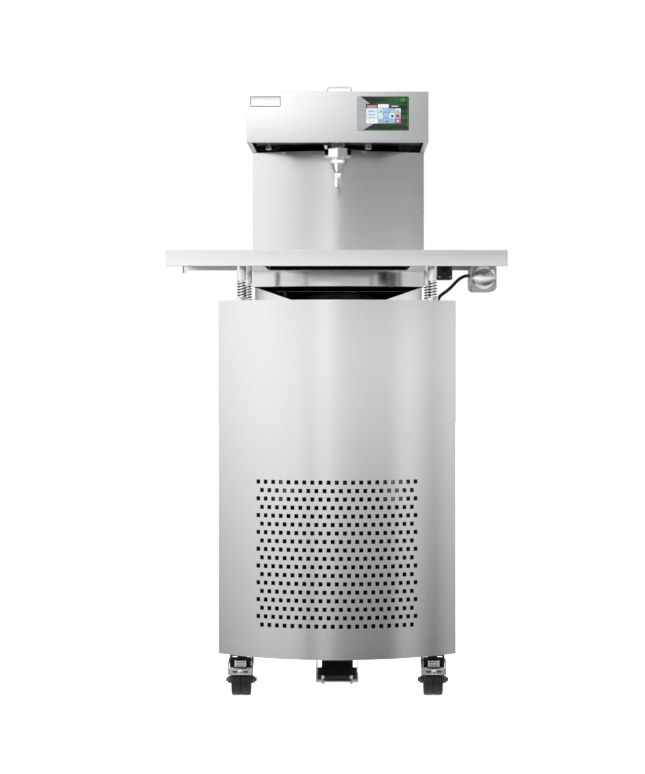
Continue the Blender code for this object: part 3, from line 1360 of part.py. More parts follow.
def make_running_gear():
    make_front_castors()
    make_rear_castors()
    make_wheels()
    make_brake_levers()
    make_pedal_bracket()
    make_pedal_plate()


clear_scene()
make_cabinet()
make_column()
make_head()
make_table()
make_running_gear()
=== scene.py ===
import json
import math

import bmesh
import bpy
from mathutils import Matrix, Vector

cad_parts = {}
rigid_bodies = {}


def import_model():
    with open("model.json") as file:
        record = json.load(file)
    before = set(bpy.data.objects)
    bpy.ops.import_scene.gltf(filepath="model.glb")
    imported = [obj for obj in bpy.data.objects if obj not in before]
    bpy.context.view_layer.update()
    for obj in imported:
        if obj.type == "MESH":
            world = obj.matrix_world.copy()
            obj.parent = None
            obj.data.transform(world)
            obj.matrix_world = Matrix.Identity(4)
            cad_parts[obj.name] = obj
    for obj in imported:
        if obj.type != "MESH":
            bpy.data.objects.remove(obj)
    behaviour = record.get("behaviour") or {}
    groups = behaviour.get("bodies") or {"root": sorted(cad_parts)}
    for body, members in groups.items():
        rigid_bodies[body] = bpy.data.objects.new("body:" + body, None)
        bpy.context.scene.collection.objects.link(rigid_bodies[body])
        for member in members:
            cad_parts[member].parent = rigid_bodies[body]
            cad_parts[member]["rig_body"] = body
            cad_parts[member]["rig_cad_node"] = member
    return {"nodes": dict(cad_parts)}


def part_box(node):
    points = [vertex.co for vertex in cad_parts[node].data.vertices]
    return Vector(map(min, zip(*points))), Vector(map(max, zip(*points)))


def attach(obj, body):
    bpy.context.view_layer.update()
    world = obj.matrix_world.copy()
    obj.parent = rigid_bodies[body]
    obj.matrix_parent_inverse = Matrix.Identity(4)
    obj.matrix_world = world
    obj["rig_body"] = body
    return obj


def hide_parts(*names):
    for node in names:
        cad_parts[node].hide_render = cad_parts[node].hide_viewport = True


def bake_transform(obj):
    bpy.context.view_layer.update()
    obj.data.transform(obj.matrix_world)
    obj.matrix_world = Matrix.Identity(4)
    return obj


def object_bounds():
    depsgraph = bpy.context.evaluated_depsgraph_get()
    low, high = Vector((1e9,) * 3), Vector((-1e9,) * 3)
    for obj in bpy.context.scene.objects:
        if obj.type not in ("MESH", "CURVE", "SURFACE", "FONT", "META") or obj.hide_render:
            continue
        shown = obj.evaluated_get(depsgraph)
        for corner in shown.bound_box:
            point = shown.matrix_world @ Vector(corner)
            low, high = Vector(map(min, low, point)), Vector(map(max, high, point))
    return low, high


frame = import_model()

cadLow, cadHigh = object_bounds()

# Camera: eye level, in front and a little to the right of the middle

cameraSpec = {
    "place": (0.0399, -5.022, 0.8515),
    "lens": 90.84,
    "shiftX": -0.0403,
    "shiftY": -0.0562,
}


def makeCamera():
    bpy.ops.object.select_all(action="DESELECT")
    bpy.ops.object.camera_add(location=cameraSpec["place"], rotation=(math.pi / 2, 0, 0))
    camera = bpy.context.object
    camera.name = "studioCamera"
    camera.data.lens = cameraSpec["lens"]
    camera.data.sensor_width = 36.0
    camera.data.shift_x = cameraSpec["shiftX"]
    camera.data.shift_y = cameraSpec["shiftY"]
    camera.data.clip_end = 60.0
    bpy.context.scene.camera = camera
    bpy.context.scene.view_settings.view_transform = "Standard"


makeCamera()
print("camera placed")


# Colour and shader nodes

def toLinear(hexColour):  # sRGB hex to the linear values that the nodes take
    values = []
    for start in (1, 3, 5):
        value = int(hexColour[start:start + 2], 16) / 255
        values.append(value / 12.92 if value <= 0.04045 else ((value + 0.055) / 1.055) ** 2.4)
    return (*values, 1.0)


def addNode(tree, kind, settings=None, links=None):
    node = tree.nodes.new(kind)
    for name, value in (settings or {}).items():
        if isinstance(name, int) or name in node.inputs:
            node.inputs[name].default_value = value
        else:
            setattr(node, name, value)
    for name, source in (links or {}).items():
        tree.links.new(source, node.inputs[name])
    return node


def fillRamp(ramp, stops):
    points = ramp.color_ramp.elements
    while len(points) > 1:
        points.remove(points[-1])
    points[0].position, points[0].color = stops[0][0], (stops[0][1],) * 3 + (1.0,)
    for place, level in stops[1:]:
        points.new(place).color = (level, level, level, 1.0)
    return ramp.outputs["Color"]


# Studio: soft boxes, drawn as bands of brightness round the horizon.
# Each pair is a compass angle in degrees from the camera's side, and a brightness.

studioSpec = {
    # one ring for each part of the object, from the foot of the cabinet up to the head
    "rings": [
        (
            -11.0,
            [
                (-180, 0.30), (-110, 0.32), (-79, 0.36), (-46, 0.58), (-24, 0.54), (-19, 0.27), (-15, 0.29),
                (-11, 0.50), (-6, 0.46), (0, 0.19), (12, 0.10), (34, 0.07), (41, 0.38), (50, 0.37), (64, 0.08),
                (77, 0.37), (120, 0.32), (180, 0.30)
            ]
        ),
        (
            -0.5,
            [
                (-180, 0.85), (-110, 1.0), (-79, 1.34), (-46, 1.50), (-24, 1.48), (-19, 1.36), (-15, 1.38),
                (-11, 1.50), (-5, 1.46), (12, 1.22), (34, 1.12), (42, 1.32), (50, 1.30), (64, 0.96), (77, 1.12),
                (120, 0.9), (180, 0.85)
            ]
        ),
        (
            1.0,
            [
                (-180, 0.85), (-110, 1.0), (-79, 1.36), (-46, 1.50), (-5, 1.62), (12, 2.00), (34, 1.90),
                (42, 2.05), (50, 2.05), (64, 1.62), (77, 1.70), (120, 0.9), (180, 0.85)
            ]
        ),
        (
            1.75,
            [
                (-180, 0.85), (-60, 1.20), (-30, 0.85), (-12, 0.70), (0, 0.52), (20, 0.42), (60, 0.45),
                (110, 0.8), (180, 0.85)
            ]
        ),
        (
            2.3,
            [
                (-180, 0.85), (-60, 1.30), (-35, 1.00), (-22, 0.95), (-14, 1.90), (-8, 2.40), (-5, 2.20),
                (-3, 1.70), (-1, 1.20), (1, 0.78), (3, 0.50), (5, 0.42), (12, 0.42), (60, 0.40), (110, 0.8),
                (180, 0.85)
            ]
        ),
        (
            3.3,
            [
                (-180, 0.9), (-110, 1.2), (-60, 1.46), (-47, 1.38), (-35, 1.16), (-24, 0.90), (-12, 0.64),
                (0, 0.48), (12, 0.43), (20, 0.41), (60, 0.40), (90, 0.6), (130, 0.9), (180, 0.9)
            ]
        ),
        (
            6.1,
            [
                (-180, 0.9), (-110, 1.2), (-60, 1.44), (-35, 1.10), (-22, 0.95), (-12, 1.20), (-7, 1.80),
                (-3, 1.80), (-1.5, 1.60), (0, 1.10), (1.5, 0.62), (3, 0.45), (10, 0.40), (60, 0.42), (100, 0.7),
                (140, 0.9), (180, 0.9)
            ]
        ),
    ],
    "blend": [9.5, 1.2, 0.35, 0.35, 0.4, 0.4],
    "paper": 1.0,
    "top": 1.15,
    "floorGlow": 0.86,
    "floorColour": "#F4F4F4",
    "keyPower": 30.0,
    "rimPower": 14.0,
}


def makeStudio():
    world = bpy.data.worlds.new("softBoxStudio")
    bpy.context.scene.world = world
    world.use_nodes = True
    tree = world.node_tree
    tree.nodes.clear()
    where = addNode(tree, "ShaderNodeTexCoord")
    axes = addNode(tree, "ShaderNodeSeparateXYZ", links={0: where.outputs["Generated"]})
    front = addNode(tree, "ShaderNodeMath", {"operation": "MULTIPLY", 1: -1.0}, {0: axes.outputs["Y"]})
    turn = addNode(
        tree, "ShaderNodeMath", {"operation": "ARCTAN2"}, {0: axes.outputs["X"], 1: front.outputs[0]}
    )
    compass = addNode(
        tree, "ShaderNodeMath", {"operation": "MULTIPLY_ADD", 1: 1 / (2 * math.pi), 2: 0.5},
        {0: turn.outputs[0]}
    )
    climb = addNode(tree, "ShaderNodeMath", {"operation": "ARCSINE"}, {0: axes.outputs["Z"]})
    degrees = addNode(tree, "ShaderNodeMath", {"operation": "DEGREES"}, {0: climb.outputs[0]})
    mixed = None
    for number, (height, stops) in enumerate(studioSpec["rings"]):
        ramp = addNode(tree, "ShaderNodeValToRGB", links={0: compass.outputs[0]})
        ring = fillRamp(ramp, [(angle / 360 + 0.5, level) for angle, level in stops])
        if mixed is None:
            paper = (studioSpec["paper"],) * 3 + (1.0,)
            share = addNode(
                tree, "ShaderNodeMapRange", {"From Min": -42.0, "From Max": -20.0},
                {"Value": degrees.outputs[0]}
            )
            mixed = addNode(tree, "ShaderNodeMixRGB", {1: paper}, {0: share.outputs[0], 2: ring}).outputs[0]
            continue
        start = height - studioSpec["blend"][number - 1]
        share = addNode(
            tree, "ShaderNodeMapRange", {"From Min": start, "From Max": height}, {"Value": degrees.outputs[0]}
        )
        mixed = addNode(tree, "ShaderNodeMixRGB", links={0: share.outputs[0], 1: mixed, 2: ring}).outputs[0]
    share = addNode(
        tree, "ShaderNodeMapRange", {"From Min": 15.0, "From Max": 70.0}, {"Value": degrees.outputs[0]}
    )
    top = (studioSpec["top"],) * 3 + (1.0,)
    mixed = addNode(tree, "ShaderNodeMixRGB", {2: top}, {0: share.outputs[0], 1: mixed}).outputs[0]
    sight = addNode(tree, "ShaderNodeLightPath")
    seen = addNode(
        tree, "ShaderNodeMixRGB", {2: (1.0, 1.0, 1.0, 1.0)}, {0: sight.outputs["Is Camera Ray"], 1: mixed}
    )
    glow = addNode(tree, "ShaderNodeBackground", links={0: seen.outputs[0]})
    addNode(tree, "ShaderNodeOutputWorld", links={0: glow.outputs[0]})


def makeFloor():
    bpy.ops.object.select_all(action="DESELECT")
    bpy.ops.mesh.primitive_plane_add(size=24.0, location=(0, 4.0, cadLow.z - 0.0005))
    floor = bpy.context.object
    floor.name = "studioFloor"
    paper = bpy.data.materials.new("matt white studio paper")
    paper.use_nodes = True
    shader = paper.node_tree.nodes["Principled BSDF"]
    shader.inputs["Base Color"].default_value = toLinear(studioSpec["floorColour"])
    shader.inputs["Roughness"].default_value = 0.95
    shader.inputs["Emission Color"].default_value = toLinear("#FFFFFF")
    shader.inputs["Emission Strength"].default_value = studioSpec["floorGlow"]
    floor.data.materials.append(paper)
    floor.visible_glossy = False
    floor.visible_diffuse = False


def makeLights():
    spots = (
        ("keySoftBox", (-2.6, -3.4, 3.2), 2.2, studioSpec["keyPower"]),
        ("rimSoftBox", (2.8, 1.6, 2.6), 1.4, studioSpec["rimPower"]),
    )
    for name, place, size, power in spots:
        bpy.ops.object.select_all(action="DESELECT")
        bpy.ops.object.light_add(type="AREA", location=place)
        light = bpy.context.object
        light.name = name
        light.data.size = size
        light.data.energy = power
        light.rotation_euler = (Vector((0, 0, 0.8)) - Vector(place)).to_track_quat("-Z", "Y").to_euler()


makeStudio()
makeFloor()
makeLights()
print("studio lit")


# Materials, each named for the real one, except where a colour is painted shade (the dark plate under the head,
# the near-black sheets and the condenser fins)

def startMaterial(name, hexColour, roughness, metallic=0.0, ior=None, coat=0.0):
    made = bpy.data.materials.new(name)
    made.use_nodes = True
    shader = made.node_tree.nodes["Principled BSDF"]
    shader.inputs["Base Color"].default_value = toLinear(hexColour)
    shader.inputs["Roughness"].default_value = roughness
    shader.inputs["Metallic"].default_value = metallic
    shader.inputs["Coat Weight"].default_value = coat
    if ior:
        shader.inputs["IOR"].default_value = ior
    return made, made.node_tree, shader


def millimetres(size):  # noise scale that gives features of this size
    return 1000.0 / size


def makeBrushed(name, hexColour, roughness, grainAxis, grainMm=1.6, change=0.02, shade=0.012):
    made, tree, shader = startMaterial(name, hexColour, roughness, 1.0)
    where = addNode(tree, "ShaderNodeTexCoord")
    stretch = [millimetres(grainMm)] * 3
    for axis in grainAxis:
        stretch["XYZ".index(axis)] = millimetres(350)
    laid = addNode(tree, "ShaderNodeMapping", {"Scale": stretch}, {"Vector": where.outputs["Object"]})
    grain = addNode(
        tree, "ShaderNodeTexNoise", {"Scale": 1.0, "Detail": 3.0, "Roughness": 0.65},
        {"Vector": laid.outputs[0]}
    )
    cloud = addNode(
        tree, "ShaderNodeTexNoise", {"Scale": millimetres(220), "Detail": 2.0},
        {"Vector": where.outputs["Object"]}
    )
    rough = addNode(
        tree, "ShaderNodeMapRange",
        {"From Min": 0.3, "From Max": 0.7, "To Min": roughness - change, "To Max": roughness + change},
        {"Value": grain.outputs["Fac"]}
    )
    worn = addNode(
        tree, "ShaderNodeMath", {"operation": "MULTIPLY_ADD", 1: 0.04, 2: -0.02}, {0: cloud.outputs["Fac"]}
    )
    total = addNode(tree, "ShaderNodeMath", {"operation": "ADD"}, {0: rough.outputs[0], 1: worn.outputs[0]})
    tree.links.new(total.outputs[0], shader.inputs["Roughness"])
    tone = addNode(
        tree, "ShaderNodeMapRange",
        {"From Min": 0.3, "From Max": 0.7, "To Min": 1.0 - shade, "To Max": 1.0 + shade},
        {"Value": grain.outputs["Fac"]}
    )
    colour = addNode(
        tree, "ShaderNodeMixRGB", {"blend_type": "MULTIPLY", 0: 1.0, 1: toLinear(hexColour)},
        {2: tone.outputs[0]}
    )
    tree.links.new(colour.outputs[0], shader.inputs["Base Color"])
    return made


def makeSpeckled(
    name, hexColour, roughness, metallic, grainMm, depth, change=0.05, shade=0.08, ior=None, coat=0.0
):
    made, tree, shader = startMaterial(name, hexColour, roughness, metallic, ior, coat)
    where = addNode(tree, "ShaderNodeTexCoord")
    grit = addNode(
        tree, "ShaderNodeTexNoise", {"Scale": millimetres(grainMm), "Detail": 4.0, "Roughness": 0.6},
        {"Vector": where.outputs["Object"]}
    )
    cloud = addNode(
        tree, "ShaderNodeTexNoise", {"Scale": millimetres(45), "Detail": 2.0},
        {"Vector": where.outputs["Object"]}
    )
    rough = addNode(
        tree, "ShaderNodeMapRange",
        {"From Min": 0.3, "From Max": 0.7, "To Min": roughness - change, "To Max": roughness + change},
        {"Value": cloud.outputs["Fac"]}
    )
    tree.links.new(rough.outputs[0], shader.inputs["Roughness"])
    tone = addNode(
        tree, "ShaderNodeMapRange",
        {"From Min": 0.3, "From Max": 0.7, "To Min": 1.0 - shade, "To Max": 1.0 + shade},
        {"Value": grit.outputs["Fac"]}
    )
    colour = addNode(
        tree, "ShaderNodeMixRGB", {"blend_type": "MULTIPLY", 0: 1.0, 1: toLinear(hexColour)},
        {2: tone.outputs[0]}
    )
    tree.links.new(colour.outputs[0], shader.inputs["Base Color"])
    bump = addNode(
        tree, "ShaderNodeBump", {"Strength": 0.4, "Distance": depth / 1000}, {"Height": grit.outputs["Fac"]}
    )
    tree.links.new(bump.outputs[0], shader.inputs["Normal"])
    return made


def makeLit(name, hexColour, glow=0.85):
    made, tree, shader = startMaterial(name, "#050505", 0.3)
    where = addNode(tree, "ShaderNodeTexCoord")
    cells = addNode(
        tree, "ShaderNodeTexNoise", {"Scale": millimetres(9), "Detail": 1.0},
        {"Vector": where.outputs["Object"]}
    )
    tone = addNode(
        tree, "ShaderNodeMapRange", {"From Min": 0.3, "From Max": 0.7, "To Min": 0.92, "To Max": 1.06},
        {"Value": cells.outputs["Fac"]}
    )
    colour = addNode(
        tree, "ShaderNodeMixRGB", {"blend_type": "MULTIPLY", 0: 1.0, 1: toLinear(hexColour)},
        {2: tone.outputs[0]}
    )
    tree.links.new(colour.outputs[0], shader.inputs["Emission Color"])
    shader.inputs["Emission Strength"].default_value = glow
    return made


def makeDisplayGlass():  # dark green picture behind glass, in slanting streaks
    made, tree, shader = startMaterial("display glass over its dark green picture", "#07140D", 0.12, 0.0, 1.5)
    where = addNode(tree, "ShaderNodeTexCoord")
    laid = addNode(
        tree, "ShaderNodeMapping", {"Rotation": (0.0, math.radians(-28), 0.0), "Scale": (12.0, 1.0, 75.0)},
        {"Vector": where.outputs["Object"]}
    )
    streaks = addNode(
        tree, "ShaderNodeTexNoise", {"Scale": 1.0, "Detail": 2.0, "Roughness": 0.5}, {"Vector": laid.outputs[0]}
    )
    ramp = addNode(tree, "ShaderNodeValToRGB", links={0: streaks.outputs["Fac"]})
    points = ramp.color_ramp.elements
    points[0].position, points[0].color = 0.40, toLinear("#06110B")
    points[1].position, points[1].color = 0.68, toLinear("#2E6B33")
    tree.links.new(ramp.outputs[0], shader.inputs["Emission Color"])
    shader.inputs["Emission Strength"].default_value = 0.7
    return made


finish = {
    # bowed front: long soft bands of light with a very fine grain across them
    "bowedPanel": makeBrushed("brushed stainless 304, bowed front", "#D2D3D5", 0.18, "XY"),
    # column: the same sheet with a duller satin, so its light falls off smoothly
    "column": makeBrushed("satin stainless 304, column", "#CACBCC", 0.16, "XY"),
    # flat sheets of the head, floor and rear
    "flatSheet": makeBrushed("brushed stainless 304, flat sheet", "#D9DADB", 0.11, "X"),
    # side panels, brushed from front to back
    "sideSheet": makeBrushed("brushed stainless 304, side sheet", "#CFD0D2", 0.28, "Y"),
    # table and lid, a shade lighter than the cabinet
    "tray": makeBrushed("brushed stainless 304, tray", "#DCDDDE", 0.15, "X"),
    # nozzle, nut and bowl: near mirrors, with hard white and black streaks
    "polished": makeBrushed("polished stainless 304", "#E2E3E4", 0.07, "XY", 6.0, 0.02, 0.01),
    # brackets: ground, so their highlights spread a little
    "bright": makeBrushed("ground stainless 304", "#DEDFE0", 0.15, "Z", 2.0, 0.03, 0.02),
    # plate under the head, unlit: painted shade, a dark grey sheet standing for the shade there, with faint
    # lines across
    "shaded": makeBrushed("black oxide steel sheet", "#58595B", 0.30, "X", 3.0, 0.05, 0.10),
    # gearbox cover: silver lacquer that spreads the light from the front gap
    "lacquered": makeSpeckled(
        "silver lacquered aluminium casting", "#D5D6D7", 0.32, 0.3, 1.8, 0.03, 0.06, 0.05
    ),
    # castor levers and axle nuts: bluish, a little mottled
    "zinc": makeSpeckled("zinc plated steel", "#C9CBD0", 0.24, 1.0, 2.5, 0.03, 0.08, 0.06),
    # motor housing: grainy grey with soft highlights
    "cast": makeSpeckled("cast aluminium, shot blasted", "#B8BABC", 0.34, 1.0, 1.6, 0.06, 0.06, 0.06),
    # castor forks: black zinc, with soft grey lights along the edges
    "blackZinc": makeSpeckled("black zinc plated steel", "#55575A", 0.32, 1.0, 2.0, 0.03, 0.08, 0.10),
    # race and plate of the castors: blackened
    "castDark": makeSpeckled("blackened steel", "#2B2C2E", 0.40, 1.0, 1.6, 0.08, 0.06, 0.10),
    # boxes, bezels and switch: dull black with fine pits
    "plastic": makeSpeckled("moulded black ABS", "#101113", 0.42, 0.0, 0.9, 0.05, 0.05, 0.15, 1.54),
    # pedal: powder coat, so slightly shiny
    "paint": makeSpeckled("black powder coat", "#101113", 0.34, 0.0, 1.2, 0.06, 0.05, 0.15, 1.5),
    # tyres: soft black that catches a dull edge light
    "rubber": makeSpeckled("black polyurethane tyre", "#050506", 0.50, 0.0, 1.4, 0.05, 0.08, 0.2, 1.5),
    # cables: smooth black skin
    "lead": makeSpeckled("black PVC cable", "#090A0B", 0.38, 0.0, 1.0, 0.02, 0.05, 0.15, 1.53),
    # painted shade: near-black sheets put where the gaps under the column and table and the louvre slots read
    # dark; rough, so they show no highlight
    "shadeBlack": makeSpeckled("near-black sheet painted for shade", "#030303", 0.92, 0.0, 2.0, 0.2, 0.04, 0.2, 1.4),
    # springs: dark oiled wire
    "spring": makeSpeckled("oiled spring steel", "#35363A", 0.26, 1.0, 1.2, 0.02, 0.05, 0.08),
    # refrigerant pipe
    "copper": makeSpeckled("drawn copper pipe", "#C98A63", 0.26, 1.0, 3.0, 0.02, 0.08, 0.08),
    # condenser: fins coloured near black, painted shade, so they stay dark behind the vents
    "fins": makeBrushed("fin stack painted near black for shade", "#1B1C1D", 0.5, "XY", 2.4, 0.06, 0.3),
    "displayGlass": makeDisplayGlass(),
    # lit areas of the display
    "litPale": makeLit("lit display, pale blue", "#D9ECF8", 0.95),
    "litWhite": makeLit("lit display, white", "#FFFFFF", 1.0),
    "litBlue": makeLit("lit display, soft blue", "#A9CBEF", 0.9),
    "litCyan": makeLit("lit display, cyan", "#6ECBF0", 0.95),
    "litPink": makeLit("lit display, pink", "#E2557C", 0.9),
    "litRed": makeLit("lit display, red", "#C9362C", 0.85),
    "litYellow": makeLit("lit display, yellow", "#DDB91E", 0.9),
    "litSalmon": makeLit("lit display, salmon", "#C99A8A", 0.85),
    "litSlate": makeLit("lit display, slate", "#39463F", 0.7),
    "litGrey": makeLit("lit display, grey", "#93A7AF", 0.8),
    "litGreen": makeLit("lit display, leaf green", "#4C8F34", 0.8),
    "litSilver": makeLit("display, silver corner", "#B4B9BB", 0.85),
}
print("materials mixed")


# Shaping by hand tools

def clearSelection():
    if bpy.context.object and bpy.context.object.mode != "OBJECT":
        bpy.ops.object.mode_set(mode="OBJECT")
    bpy.ops.object.select_all(action="DESELECT")


def useOnly(piece):
    clearSelection()
    piece.select_set(True)
    bpy.context.view_layer.objects.active = piece


def settle(piece):
    useOnly(piece)
    bpy.ops.object.transform_apply(location=True, rotation=True, scale=True)
    return piece


def addBlock(name, low, high):
    clearSelection()
    middle = [(a + b) / 2 for a, b in zip(low, high)]
    size = [b - a for a, b in zip(low, high)]
    bpy.ops.mesh.primitive_cube_add(size=1.0, location=middle, scale=size)
    piece = bpy.context.object
    piece.name = piece.data.name = name
    return settle(piece)


def addRound(name, place, radius, low, high, axis="Z", sides=32):
    clearSelection()
    turns = {"Z": (0, 0, 0), "X": (0, math.pi / 2, 0), "Y": (-math.pi / 2, 0, 0)}
    middle = list(place)
    middle["XYZ".index(axis)] = (low + high) / 2
    bpy.ops.mesh.primitive_cylinder_add(
        vertices=sides, radius=radius, depth=high - low, location=middle, rotation=turns[axis]
    )
    piece = bpy.context.object
    piece.name = piece.data.name = name
    return settle(piece)


def pick(piece, kind, test):
    bpy.ops.mesh.select_mode(type=kind)
    bpy.ops.mesh.select_all(action="DESELECT")
    shape = bmesh.from_edit_mesh(piece.data)
    if kind == "FACE":
        for face in shape.faces:
            face.select_set(bool(test(face.calc_center_median(), face.normal)))
    elif kind == "EDGE":
        for edge in shape.edges:
            start, end = (vert.co for vert in edge.verts)
            edge.select_set(bool(test((start + end) / 2, end - start)))
    else:
        for vert in shape.verts:
            vert.select_set(bool(test(vert.co)))
    shape.select_flush_mode()
    bmesh.update_edit_mesh(piece.data)


def edit(piece):
    useOnly(piece)
    bpy.ops.object.mode_set(mode="EDIT")


def endEdit():
    bpy.ops.object.mode_set(mode="OBJECT")


def applyModifier(piece, kind, **settings):
    useOnly(piece)
    modifier = piece.modifiers.new(kind.lower(), kind)
    for name, value in settings.items():
        setattr(modifier, name, value)
    bpy.ops.object.modifier_apply(modifier=modifier.name)


def softenEdges(piece, width, segments=2, angle=35):
    applyModifier(
        piece, "BEVEL", width=width, segments=segments, limit_method="ANGLE", angle_limit=math.radians(angle),
        use_clamp_overlap=True
    )


def smoothOff(piece, angle=35):  # weighted normals keep large faces flat up to their bevels
    useOnly(piece)
    bpy.ops.object.shade_smooth_by_angle(angle=math.radians(angle))
    applyModifier(piece, "WEIGHTED_NORMAL", mode="FACE_AREA_WITH_ANGLE", weight=50, keep_sharp=True)


def cutAway(piece, cutter):
    applyModifier(piece, "BOOLEAN", operation="DIFFERENCE", solver="EXACT", object=cutter)
    bpy.data.objects.remove(cutter)


def weldOn(piece, *others):
    clearSelection()
    for other in others:
        other.select_set(True)
    piece.select_set(True)
    bpy.context.view_layer.objects.active = piece
    bpy.ops.object.join()
    return piece


def copyTo(piece, name, shift):
    useOnly(piece)
    bpy.ops.object.duplicate(linked=False)
    copied = bpy.context.object
    copied.name = copied.data.name = name
    bpy.ops.transform.translate(value=shift)
    return settle(copied)


def turnProfile(name, profile, place, axis="Z", sides=48, closed=False):
    clearSelection()
    radius, height = profile[0]
    bpy.ops.mesh.primitive_circle_add(vertices=sides, radius=radius, location=(0, 0, height))
    piece = bpy.context.object
    piece.name = piece.data.name = name
    settle(piece)
    edit(piece)
    bpy.ops.mesh.select_mode(type="VERT")
    bpy.ops.mesh.select_all(action="SELECT")
    for nextRadius, nextHeight in profile[1:]:
        bpy.ops.mesh.extrude_region_move(TRANSFORM_OT_translate={"value": (0, 0, nextHeight - height)})
        grow = max(nextRadius, 1e-6) / radius
        bpy.ops.transform.resize(value=(grow, grow, 1.0), center_override=(0, 0, nextHeight))
        radius, height = max(nextRadius, 1e-6), nextHeight
    bpy.ops.mesh.select_all(action="SELECT")
    bpy.ops.mesh.remove_doubles(threshold=0.00001)
    if not closed:
        pick(piece, "EDGE", lambda middle, along: False)
        bpy.ops.mesh.select_mode(type="EDGE")
        bpy.ops.mesh.select_non_manifold(extend=False)
        bpy.ops.mesh.edge_face_add()
    bpy.ops.mesh.select_all(action="SELECT")
    bpy.ops.mesh.normals_make_consistent(inside=False)
    endEdit()
    turns = {"Z": (0, 0, 0), "X": (0, math.pi / 2, 0), "Y": (-math.pi / 2, 0, 0)}
    piece.rotation_euler = turns[axis]
    piece.location = place
    return settle(piece)


def addOutline(name, points, low, high, axis="X"):
    orders = {"X": lambda a, b, c: (c, a, b), "Y": lambda a, b, c: (a, c, b), "Z": lambda a, b, c: (a, b, c)}
    order = orders[axis]
    clearSelection()
    bpy.ops.mesh.primitive_circle_add(vertices=len(points), radius=0.01, fill_type="NGON")
    piece = bpy.context.object
    piece.name = piece.data.name = name
    for vert, (a, b) in zip(piece.data.vertices, points):
        vert.co = order(a, b, low)
    edit(piece)
    bpy.ops.mesh.select_all(action="SELECT")
    bpy.ops.mesh.extrude_region_move(TRANSFORM_OT_translate={"value": order(0, 0, high - low)})
    bpy.ops.mesh.select_all(action="SELECT")
    bpy.ops.mesh.normals_make_consistent(inside=False)
    endEdit()
    return piece


def finishPiece(piece, body, material, slotName, *stoodFor):
    piece.data.materials.clear()
    piece.data.materials.append(finish[material] if isinstance(material, str) else material)
    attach(piece, body)
    if stoodFor:
        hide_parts(*stoodFor)
    return piece


def refine(node, material, slotName, width=0.0006, segments=2, name=None, angle=35):
    clearSelection()
    source = frame["nodes"][node]
    source.hide_viewport = False
    useOnly(source)
    bpy.ops.object.duplicate(linked=False)
    piece = bpy.context.object
    piece.parent = None
    piece.name = piece.data.name = name or node + "_fine"
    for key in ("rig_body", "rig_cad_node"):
        del piece[key]
    edit(piece)
    bpy.ops.mesh.select_all(action="SELECT")
    bpy.ops.mesh.remove_doubles(threshold=0.00001)
    bpy.ops.mesh.dissolve_limited(angle_limit=math.radians(0.6))
    endEdit()
    if width:
        softenEdges(piece, width, segments)
    smoothOff(piece, angle)
    return finishPiece(piece, source["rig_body"], material, slotName, node)


# Cabinet: perforated bowed front

frontPanelSpec = {
    "bowRadius": 0.4475,
    "sheet": 0.002,
    "hole": 0.00965,        # holes are half their pitch wide
    "rowStep": 0.010,       # one row of holes, then one plain row
    "lowestRow": 0.183,
    "holeRows": 18,
    "holesInRow": 21,
}


def makeFrontPanel():
    spec = frontPanelSpec
    low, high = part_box("front_panel")
    halfArc = spec["bowRadius"] * math.asin(high.x / spec["bowRadius"])
    columns, rows = 65, 85
    rowsBelow = 7
    start = spec["lowestRow"] - (rowsBelow + 0.5) * spec["rowStep"]
    clearSelection()
    bpy.ops.mesh.primitive_grid_add(x_subdivisions=columns, y_subdivisions=rows, size=1.0)
    panel = bpy.context.object
    panel.name = panel.data.name = "front_panel_vented"
    edit(panel)
    bpy.ops.mesh.select_all(action="SELECT")
    bpy.ops.transform.resize(
        value=(columns * spec["hole"], rows * spec["rowStep"], 1.0), center_override=(0, 0, 0)
    )
    bpy.ops.transform.rotate(value=math.pi / 2, orient_axis="X", center_override=(0, 0, 0))
    bpy.ops.transform.translate(value=(0, 0, start + rows * spec["rowStep"] / 2))
    endEdit()
    for vert in panel.data.vertices:   # the outermost rows and columns end on the panel's edges
        vert.co.y = 0.0
        vert.co.x = max(-halfArc, min(halfArc, vert.co.x))
        if abs(vert.co.z - start) < 0.001:
            vert.co.z = low.z
        if abs(vert.co.z - start - rows * spec["rowStep"]) < 0.001:
            vert.co.z = high.z
    top = spec["lowestRow"] + 2 * (spec["holeRows"] - 1) * spec["rowStep"]
    reach = spec["holesInRow"] - 1

    def isHole(middle, normal):
        row = (top - middle.z) / spec["rowStep"]
        column = round(middle.x / spec["hole"])
        nearest = round(row)
        if abs(row - nearest) > 0.1 or nearest % 2 or not 0 <= nearest <= 2 * (spec["holeRows"] - 1):
            return False
        offset = (nearest // 2) % 2
        return abs(column) <= reach - offset and (column + offset) % 2 == 0

    edit(panel)
    pick(panel, "FACE", isHole)
    bpy.ops.mesh.delete(type="FACE")
    endEdit()
    applyModifier(
        panel, "SIMPLE_DEFORM", deform_method="BEND", deform_axis="Z", angle=2 * halfArc / spec["bowRadius"]
    )
    edit(panel)
    bpy.ops.mesh.select_all(action="SELECT")
    bpy.ops.mesh.normals_make_consistent(inside=False)
    endEdit()
    if sum(face.normal.y * face.area for face in panel.data.polygons) > 0:
        edit(panel)
        bpy.ops.mesh.select_all(action="SELECT")
        bpy.ops.mesh.flip_normals()
        endEdit()
    panel.location.y = low.y - min(vert.co.y for vert in panel.data.vertices)
    settle(panel)
    applyModifier(panel, "SOLIDIFY", thickness=spec["sheet"], offset=-1.0)
    smoothOff(panel, 30)
    finishPiece(panel, "cabinet", "bowedPanel", "stainless_brushed", "front_panel")


